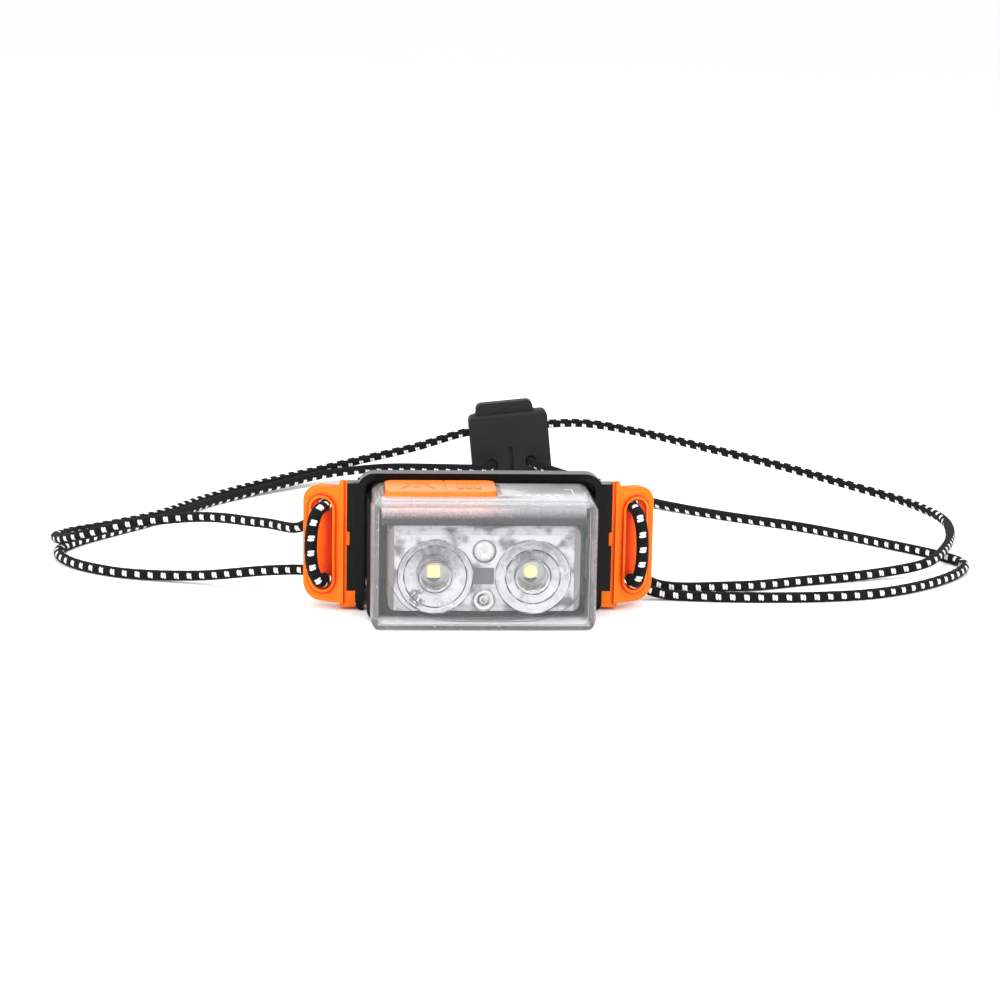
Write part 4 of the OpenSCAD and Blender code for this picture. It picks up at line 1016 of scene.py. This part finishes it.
def make_shell():
    """Shell with a window in its front, frosted walls, and a roof and underside in a lighter milky copy
    of the wall plastic that is partly a painted highlight.
    """
    obj = rounded_piece("front_shell", "lamp", 0.4, segments=3)
    mesh = obj.data
    mesh.materials.append(MAT["shell_front"])
    mesh.materials.append(MAT["shell_roof_painted_light"])
    for face in mesh.polygons:
        depth = face.center.y / MM - FRONT_Y
        from_mid = abs(face.center.z / MM - MID_Z)
        if abs(face.normal.y) > FLAT_ENOUGH and depth < SHELL_WALL + WALL_SPARE:
            face.material_index = 1
        elif abs(face.normal.z) > FLAT_ENOUGH and from_mid > MID_Z - SHELL_WALL - WALL_SPARE:
            face.material_index = 2


SMILE = [
    (-20, 9.9), (-17.6, 6.4), (-13.7, 3.9), (-9.4, 2.8), (1.3, 2.4), (12.1, 2.9), (16.4, 4.6),
    (19.6, 7.3), (20.6, 9.5),
]
SMILE_R = 0.09 * MM
SMILE_STEP = 0.5
SMILE_SIDES = 8


def make_front_line():
    """Fine curved line under the lenses, on the front."""
    path = smooth_route([(x, FRONT_Y, z) for x, z in SMILE], SMILE_STEP) * MM
    obj = tube("front_line", path, SMILE_R, SMILE_SIDES, MAT["line_grey"])
    as_piece(obj, "lamp", "clear_shell")


STRIP_LOW = (-22, -10, 22.7)
STRIP_HIGH = (22, -9.7, 27)


def make_roof_strip():
    """Milky strip between the key board and the roof, behind the front, carrying a painted reflection of
    the keys and painted shade.
    """
    obj = slab("painted_reflection_strip", STRIP_LOW, STRIP_HIGH, MAT["painted_reflection_strip"], 0.1)
    as_piece(obj, "lamp", "light_guide")


# Keys and marks

KEY_TOP = 29.7
KEY_ROUND = 0.5
KEY_SEAM_X = -8.2
KEY_WEB = [(0.16, 27.4), (0.16, 29.2), (0.2, 29.22), (0.3, 29.52), (0.38, 29.59), (0.36, 29.6)]
KEY_WEB_Y = (-8.05, 4.2)
MARK_H = 0.1
MARK_SINK = 0.02
BEAM_LINES = (
    ((-16.8, 0.4), (-11.4, 0.4), 0.8), ((-15.8, -1.2), (-17.6, -5.2), 0.5),
    ((-12.4, -1.2), (-10.6, -5.2), 0.5), ((-14.9, -3.0), (-13.3, -3.0), 0.9),
)
SPREAD_LINE = ((-5.6, 0.2), (-0.4, 0.2), 0.8)
SPREAD_X = (-4.85, -3.0, -1.15)
SPREAD_Y = -3.4
SPREAD_BOX = (1.45, 4.6)
SPREAD_PAD = (1.05, 3.6)
SPREAD_PAD_H = 0.22


def make_keys():
    """The two keys, the lip between them and their marks of a narrow and a wide beam."""
    for key in ("left_key", "right_key"):
        rounded_piece(key, key, KEY_ROUND, segments=4, material=MAT["key_orange"])
    outline = [(KEY_SEAM_X + x, z) for x, z in KEY_WEB]
    outline += [(KEY_SEAM_X - x, z) for x, z in reversed(KEY_WEB)]
    web = holed_plate("key_web", outline, [], *KEY_WEB_Y, MAT["key_orange"])
    as_piece(web, "lamp", "orange_plastic")
    beam = [stroke(*line) for line in BEAM_LINES]
    spread = [stroke(*SPREAD_LINE)] + [box_outline(x, SPREAD_Y, *SPREAD_BOX) for x in SPREAD_X]
    for key, outlines in (("left_key", beam), ("right_key", spread)):
        mark = raised(key + "_mark", outlines, KEY_TOP - MARK_SINK, MARK_H, MAT["orange_mark"])
        as_piece(mark, key, "orange_plastic")
    pads = [box_outline(x, SPREAD_Y, *SPREAD_PAD) for x in SPREAD_X]
    raised_pads = raised("right_key_pads", pads, KEY_TOP, SPREAD_PAD_H, MAT["key_orange"], edge=0.08)
    as_piece(raised_pads, "right_key", "orange_plastic")


GAUGE_X = 7.6
GAUGE_Y = -7.4
GAUGE_PITCH = 2.1
GAUGE_COUNT = 5
GAUGE_MARK = (1.0, 1.6)
GAUGE_MARK_H = 0.05
CORNER_LINES = (((17.9, -1.2), (19.7, -1.2), 0.3), ((19.55, -1.0), (19.55, -7.6), 0.25))


def make_gauge_marks():
    """A row of small marks over the gauge and a thin corner line beside them."""
    places = [GAUGE_X + GAUGE_PITCH * k for k in range(GAUGE_COUNT)]
    marks = [box_outline(x, GAUGE_Y, *GAUGE_MARK) for x in places]
    marks += [stroke(*line) for line in CORNER_LINES]
    level = ROOF_TOP - MARK_SINK
    obj = raised("gauge_marks", marks, level, GAUGE_MARK_H, MAT["mark_white"], edge=0.01)
    as_piece(obj, "lamp", "light_guide")


# Tray, lenses and lights behind the front

LENS_X = 10.5
LENS_Y = -12.6
LENS_Z = 12.0
SENSOR_Z = 12.2
SENSOR_HOLE = (4.24, 3.64)
FACE_Y = (LENS_Y - 0.04, LENS_Y + 0.6)
TRAY_INNER_X = 19.38
TRAY_LOW = 5.85
LENS_HOLE_R = 8.25
SMALL_HOLE_R = 2.58
TRAY_HIGH = 21.35
SMALL_UPPER_Z = 17.6
SMALL_LOWER_Z = 6.8
LED_FRONT = -4.9
FLANK_FROM = 1.25
FLANK_BACK = 7.4
FLANK_TAPER = 0.08
STEEP = 0.45
BORE_FROM = 4.7
BORE_SHADE = 0.72
RIM_SHARE = 1.97
GROOVE_SHARE = 0.84
GROOVE_FLOOR = (0.36, 0.6)
LED_BACK = -4.0
CHIP_STEP = LED_BACK - 0.45
CHIP_ROUND = 0.12
# Size and place of the dark crescent under each chip, which is painted shade.
CHIP_SHADE_HALF = 1.35
CHIP_SHADE_GAP = 0.03
CHIP_SHADE_DROP = 0.2
CHIP_SHADE_BELLY = -0.8


def main_lens(recess, ring):
    """Profile of a light-gathering lens: recess, ring, rim, flank and a bore over the chip."""
    front = [(0, 1.2)] + bowed((0.6, 1.2), (recess - 0.1, 1.25), -0.02, 3)
    front += [(recess, 0.35), (recess + 0.3, 0.12)]
    front += [(recess + 0.5, 0.1), (recess + 0.54, 0.4), (recess + 0.66, 0.4), (recess + 0.7, 0.1)]
    front += bowed((recess + 0.9, 0.1), (ring, 0.0), -0.1, 4)
    front += [(ring + 0.06, 0.05), (ring + 0.1, 0.5), (ring + 0.3, 0.5), (ring + 0.34, 0.1), (8.05, 0.0)]
    flank = [(8.2, 0.12), (8.2, 1.2)] + bowed((8.1, 1.3), (4.1, 7.3), -0.55, 12)
    bore = [(4.0, 7.4), (3.5, 7.4), (3.3, 4.6)] + bowed((3.2, 4.55), (0, 4.6), 0.02, 4)
    return front + flank + bore


UPPER_SMALL = [
    (0, 0.75), (0.3, 0.7), (0.42, 0.3), (0.8, 0.12), (1.4, 0.05), (1.9, 0.2), (2.3, 0.6), (2.55, 1.15),
    (2.55, 1.5), (1.7, 7.3), (1.6, 7.4), (0, 7.4),
]
LOWER_SMALL = [
    (0, 0.35), (0.2, 0.36), (0.5, 0.5), (0.6, 0.6), (0.9, 0.7), (1.0, 1.0), (1.3, 1.0), (1.4, 0.5),
    (1.55, 0.25), (2.1, 0.1), (2.3, 0.2), (2.5, 0.4), (2.55, 0.6), (2.55, 1.5), (1.7, 7.3), (1.6, 7.4),
    (0, 7.4),
]
# Radii of the dark rings on the lower small lens, painted as shade.
SMALL_PAINTED_SHADE = ((0.2, 0.5), (0.9, 1.35), (2.1, 2.3))


def make_tray():
    """Silvery tray with darker sides, and the face plate round the lenses."""
    tray = rounded_piece("reflector_tray", "lamp", 0.15)
    tray.data.materials.append(MAT["tray_side"])
    work = bmesh.new()
    work.from_mesh(tray.data)
    for side in (-1, 1):
        everything = [*work.verts, *work.edges, *work.faces]
        cut = Vector((side * TRAY_INNER_X, 0, 0)) * MM
        bmesh.ops.bisect_plane(work, geom=everything, plane_co=cut, plane_no=(1, 0, 0))
    for face in work.faces:
        if abs(face.calc_center_median().x) / MM > TRAY_INNER_X:
            face.material_index = 1
    work.to_mesh(tray.data)
    work.free()
    outer = [(-TRAY_INNER_X, TRAY_HIGH), (-TRAY_INNER_X, TRAY_LOW)]
    left, right = ((x, LENS_Z, LENS_HOLE_R) for x in (-LENS_X, LENS_X))
    for x, z, radius in (left, (0, SMALL_LOWER_Z, SMALL_HOLE_R), right):
        dip = math.asin((z - TRAY_LOW) / radius)
        turns = np.linspace(math.pi + dip, -dip, 64)
        outer += [(x + radius * math.cos(a), z + radius * math.sin(a)) for a in turns]
    outer += [(TRAY_INNER_X, TRAY_LOW), (TRAY_INNER_X, TRAY_HIGH)]
    holes = [circle_outline(0, SMALL_UPPER_Z, SMALL_HOLE_R), box_outline(0, SENSOR_Z, *SENSOR_HOLE)]
    plate = holed_plate("tray_face", outer, holes, *FACE_Y, MAT["reflector"])
    as_piece(plate, "lamp", "reflector")


def silver_flank(mesh, x, z, inner):
    """The lens's flank, behind its rim, is silvered; its rim, its grooves and the low side of its bore
    are painted dark as shade, with painted glints.
    """
    mesh.materials.append(MAT["lens_cup"])
    mesh.materials.append(MAT["lens_edge_painted_shade"])
    for face in mesh.polygons:
        radius = math.hypot(face.center.x / MM - x, face.center.z / MM - z)
        depth = face.center.y / MM - LENS_Y
        steep = abs(face.normal.y) < STEEP
        if depth > FLANK_FROM and radius > inner * (1 + (FLANK_BACK - depth) * FLANK_TAPER):
            face.material_index = 1
        elif steep and depth > BORE_FROM:
            low = z - face.center.z / MM > BORE_SHADE * radius
            face.material_index = 2 if low else 1
        elif depth < FLANK_FROM and (steep or radius > inner * RIM_SHARE):
            face.material_index = 2
        elif GROOVE_FLOOR[0] < depth < GROOVE_FLOOR[1] and radius > inner * GROOVE_SHARE:
            face.material_index = 2


def ring_small_lens(mesh, x, z):
    """Milky rings in the front of a small lens, and dark rings between them painted as shade."""
    mesh.materials.append(MAT["light_guide"])
    for face in mesh.polygons:
        radius = math.hypot(face.center.x / MM - x, face.center.z / MM - z)
        if face.center.y / MM - LENS_Y < FLANK_FROM:
            dark = any(near < radius < far for near, far in SMALL_PAINTED_SHADE)
            face.material_index = 2 if dark else 3


def make_lenses():
    table = (
        ("spot_lens", main_lens(3.0, 6.55), -LENS_X, LENS_Z, "lens"),
        ("flood_lens", main_lens(3.3, 5.7), LENS_X, LENS_Z, "lens"),
        ("upper_lens", UPPER_SMALL, 0, SMALL_UPPER_Z, "light_guide"),
        ("lower_lens", LOWER_SMALL, 0, SMALL_LOWER_Z, "lens"),
    )
    for node, profile, x, z, slot in table:
        obj = turned(node + "_piece", profile, (x, LENS_Y, z), MAT[slot])
        if slot == "lens":
            silver_flank(obj.data, x, z, max(r for r, _ in profile) / 2)
        if node == "lower_lens":
            ring_small_lens(obj.data, x, z)
        as_piece(obj, "lamp", slot, node)


def make_chip(node, x, glow_side, glow_corners):
    """Light chip: square base with a phosphor face, square or round, and a dark crescent of painted
    shade below it.
    """
    low, high = (Vector(v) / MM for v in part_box(node))
    half = (high.x - low.x) / 2
    sink = half - glow_side / 2
    reach = glow_side / 2 / math.cos(math.pi / glow_corners)
    square = box_outline(x, LENS_Z, 2 * half, 2 * half)
    base = holed_plate(f"{node}_base", square, [], CHIP_STEP, LED_BACK, MAT["ceramic"])
    turns = [2 * math.pi * (k + 0.5) / glow_corners for k in range(glow_corners)]
    face = [(x + reach * math.cos(a), LENS_Z - sink + reach * math.sin(a)) for a in turns]
    glow = holed_plate(f"{node}_glow", face, [], LED_FRONT, CHIP_STEP, MAT["led"])
    for obj in (base, glow):
        round_edges(obj, CHIP_ROUND, 3)
    as_piece(base, "lamp", "led", node)
    as_piece(glow, "lamp", "led")
    # Painted shade: a dark crescent just under the chip's base.
    edge = LENS_Z - half - CHIP_SHADE_GAP
    foot = edge - CHIP_SHADE_DROP
    shade_crescent = [(x + CHIP_SHADE_HALF, edge), (x - CHIP_SHADE_HALF, edge)]
    shade_crescent += bowed((x - CHIP_SHADE_HALF, foot), (x + CHIP_SHADE_HALF, foot), CHIP_SHADE_BELLY)
    pad = holed_plate(f"{node}_pad", shade_crescent, [], CHIP_STEP, LED_BACK, MAT["chip_painted_shade"])
    as_piece(pad, "lamp", "sensor_dark")


def make_lights_behind():
    make_chip("spot_led", -LENS_X, 2.6, 4)
    make_chip("flood_led", LENS_X, 2.7, 32)


# Floor and light

FLOOR_HALF = 30.0
SKY_TOP = 1.1
SKY_BACK = 1.3
SKY_FRONT = 0.2
SKY_TURN = 0.6
SKY_RISE = 0.75


def make_stage():
    h = FLOOR_HALF
    mesh = bpy.data.meshes.new("floor")
    mesh.from_pydata([(-h, -h, 0), (h, -h, 0), (h, h, 0), (-h, h, 0)], [], [(0, 1, 2, 3)])
    g = Graph("floor")
    g.set(Base_Color=g.mix(g.noise(2.0), rgba(0.94, 0.94, 0.94), rgba(0.96, 0.96, 0.96)))
    g.set(Roughness=g.ramp(g.noise(30.0), 0.9, 1.0))
    g.set(Specular_IOR_Level=0.1)
    add_object("floor", mesh, g.material)


def make_sky():
    """Soft white surround: brightest overhead, bright behind, darker in front."""
    world = bpy.data.worlds.new("studio")
    world.use_nodes = True
    tree = world.node_tree
    way = tree.nodes.new("ShaderNodeTexCoord").outputs["Generated"]
    parts = tree.nodes.new("ShaderNodeSeparateXYZ")
    tree.links.new(way, parts.inputs[0])
    level = map_range(tree, parts.outputs["Y"], SKY_FRONT, SKY_BACK, -SKY_TURN, SKY_TURN)
    glow = map_range(tree, parts.outputs["Z"], level, SKY_TOP, 0.0, SKY_RISE)
    tree.links.new(glow, tree.nodes["Background"].inputs["Strength"])
    tree.nodes["Background"].inputs["Color"].default_value = rgba(1.0, 1.0, 1.0)
    scene.world = world


LIGHTS = (
    ("top", (0.0, -0.1, 0.9), (0, 0.03, 0), 0.8, 5.0),
    ("front_left", (-0.6, -0.9, 0.7), (0, 0, 0.01), 0.5, 7.0),
    ("front_right", (0.6, -0.9, 0.7), (0, 0, 0.01), 0.5, 6.5),
)


def make_light(name, place, aim, size, power):
    """Round soft light, in metres and watts."""
    data = bpy.data.lights.new(name, "AREA")
    data.shape = "DISK"
    data.size = size
    data.energy = power
    obj = bpy.data.objects.new(name, data)
    obj.location = Vector(place)
    obj.rotation_euler = (Vector(aim) - Vector(place)).to_track_quat("-Z", "Y").to_euler()
    scene.collection.objects.link(obj)


make_camera()
dress_nodes()
make_cords()
make_pad()
make_body()
make_backing()
make_shell()
make_front_line()
make_roof_strip()
make_keys()
make_gauge_marks()
make_tray()
make_lenses()
make_lights_behind()
make_stage()
make_sky()
for light in LIGHTS:
    make_light(*light)
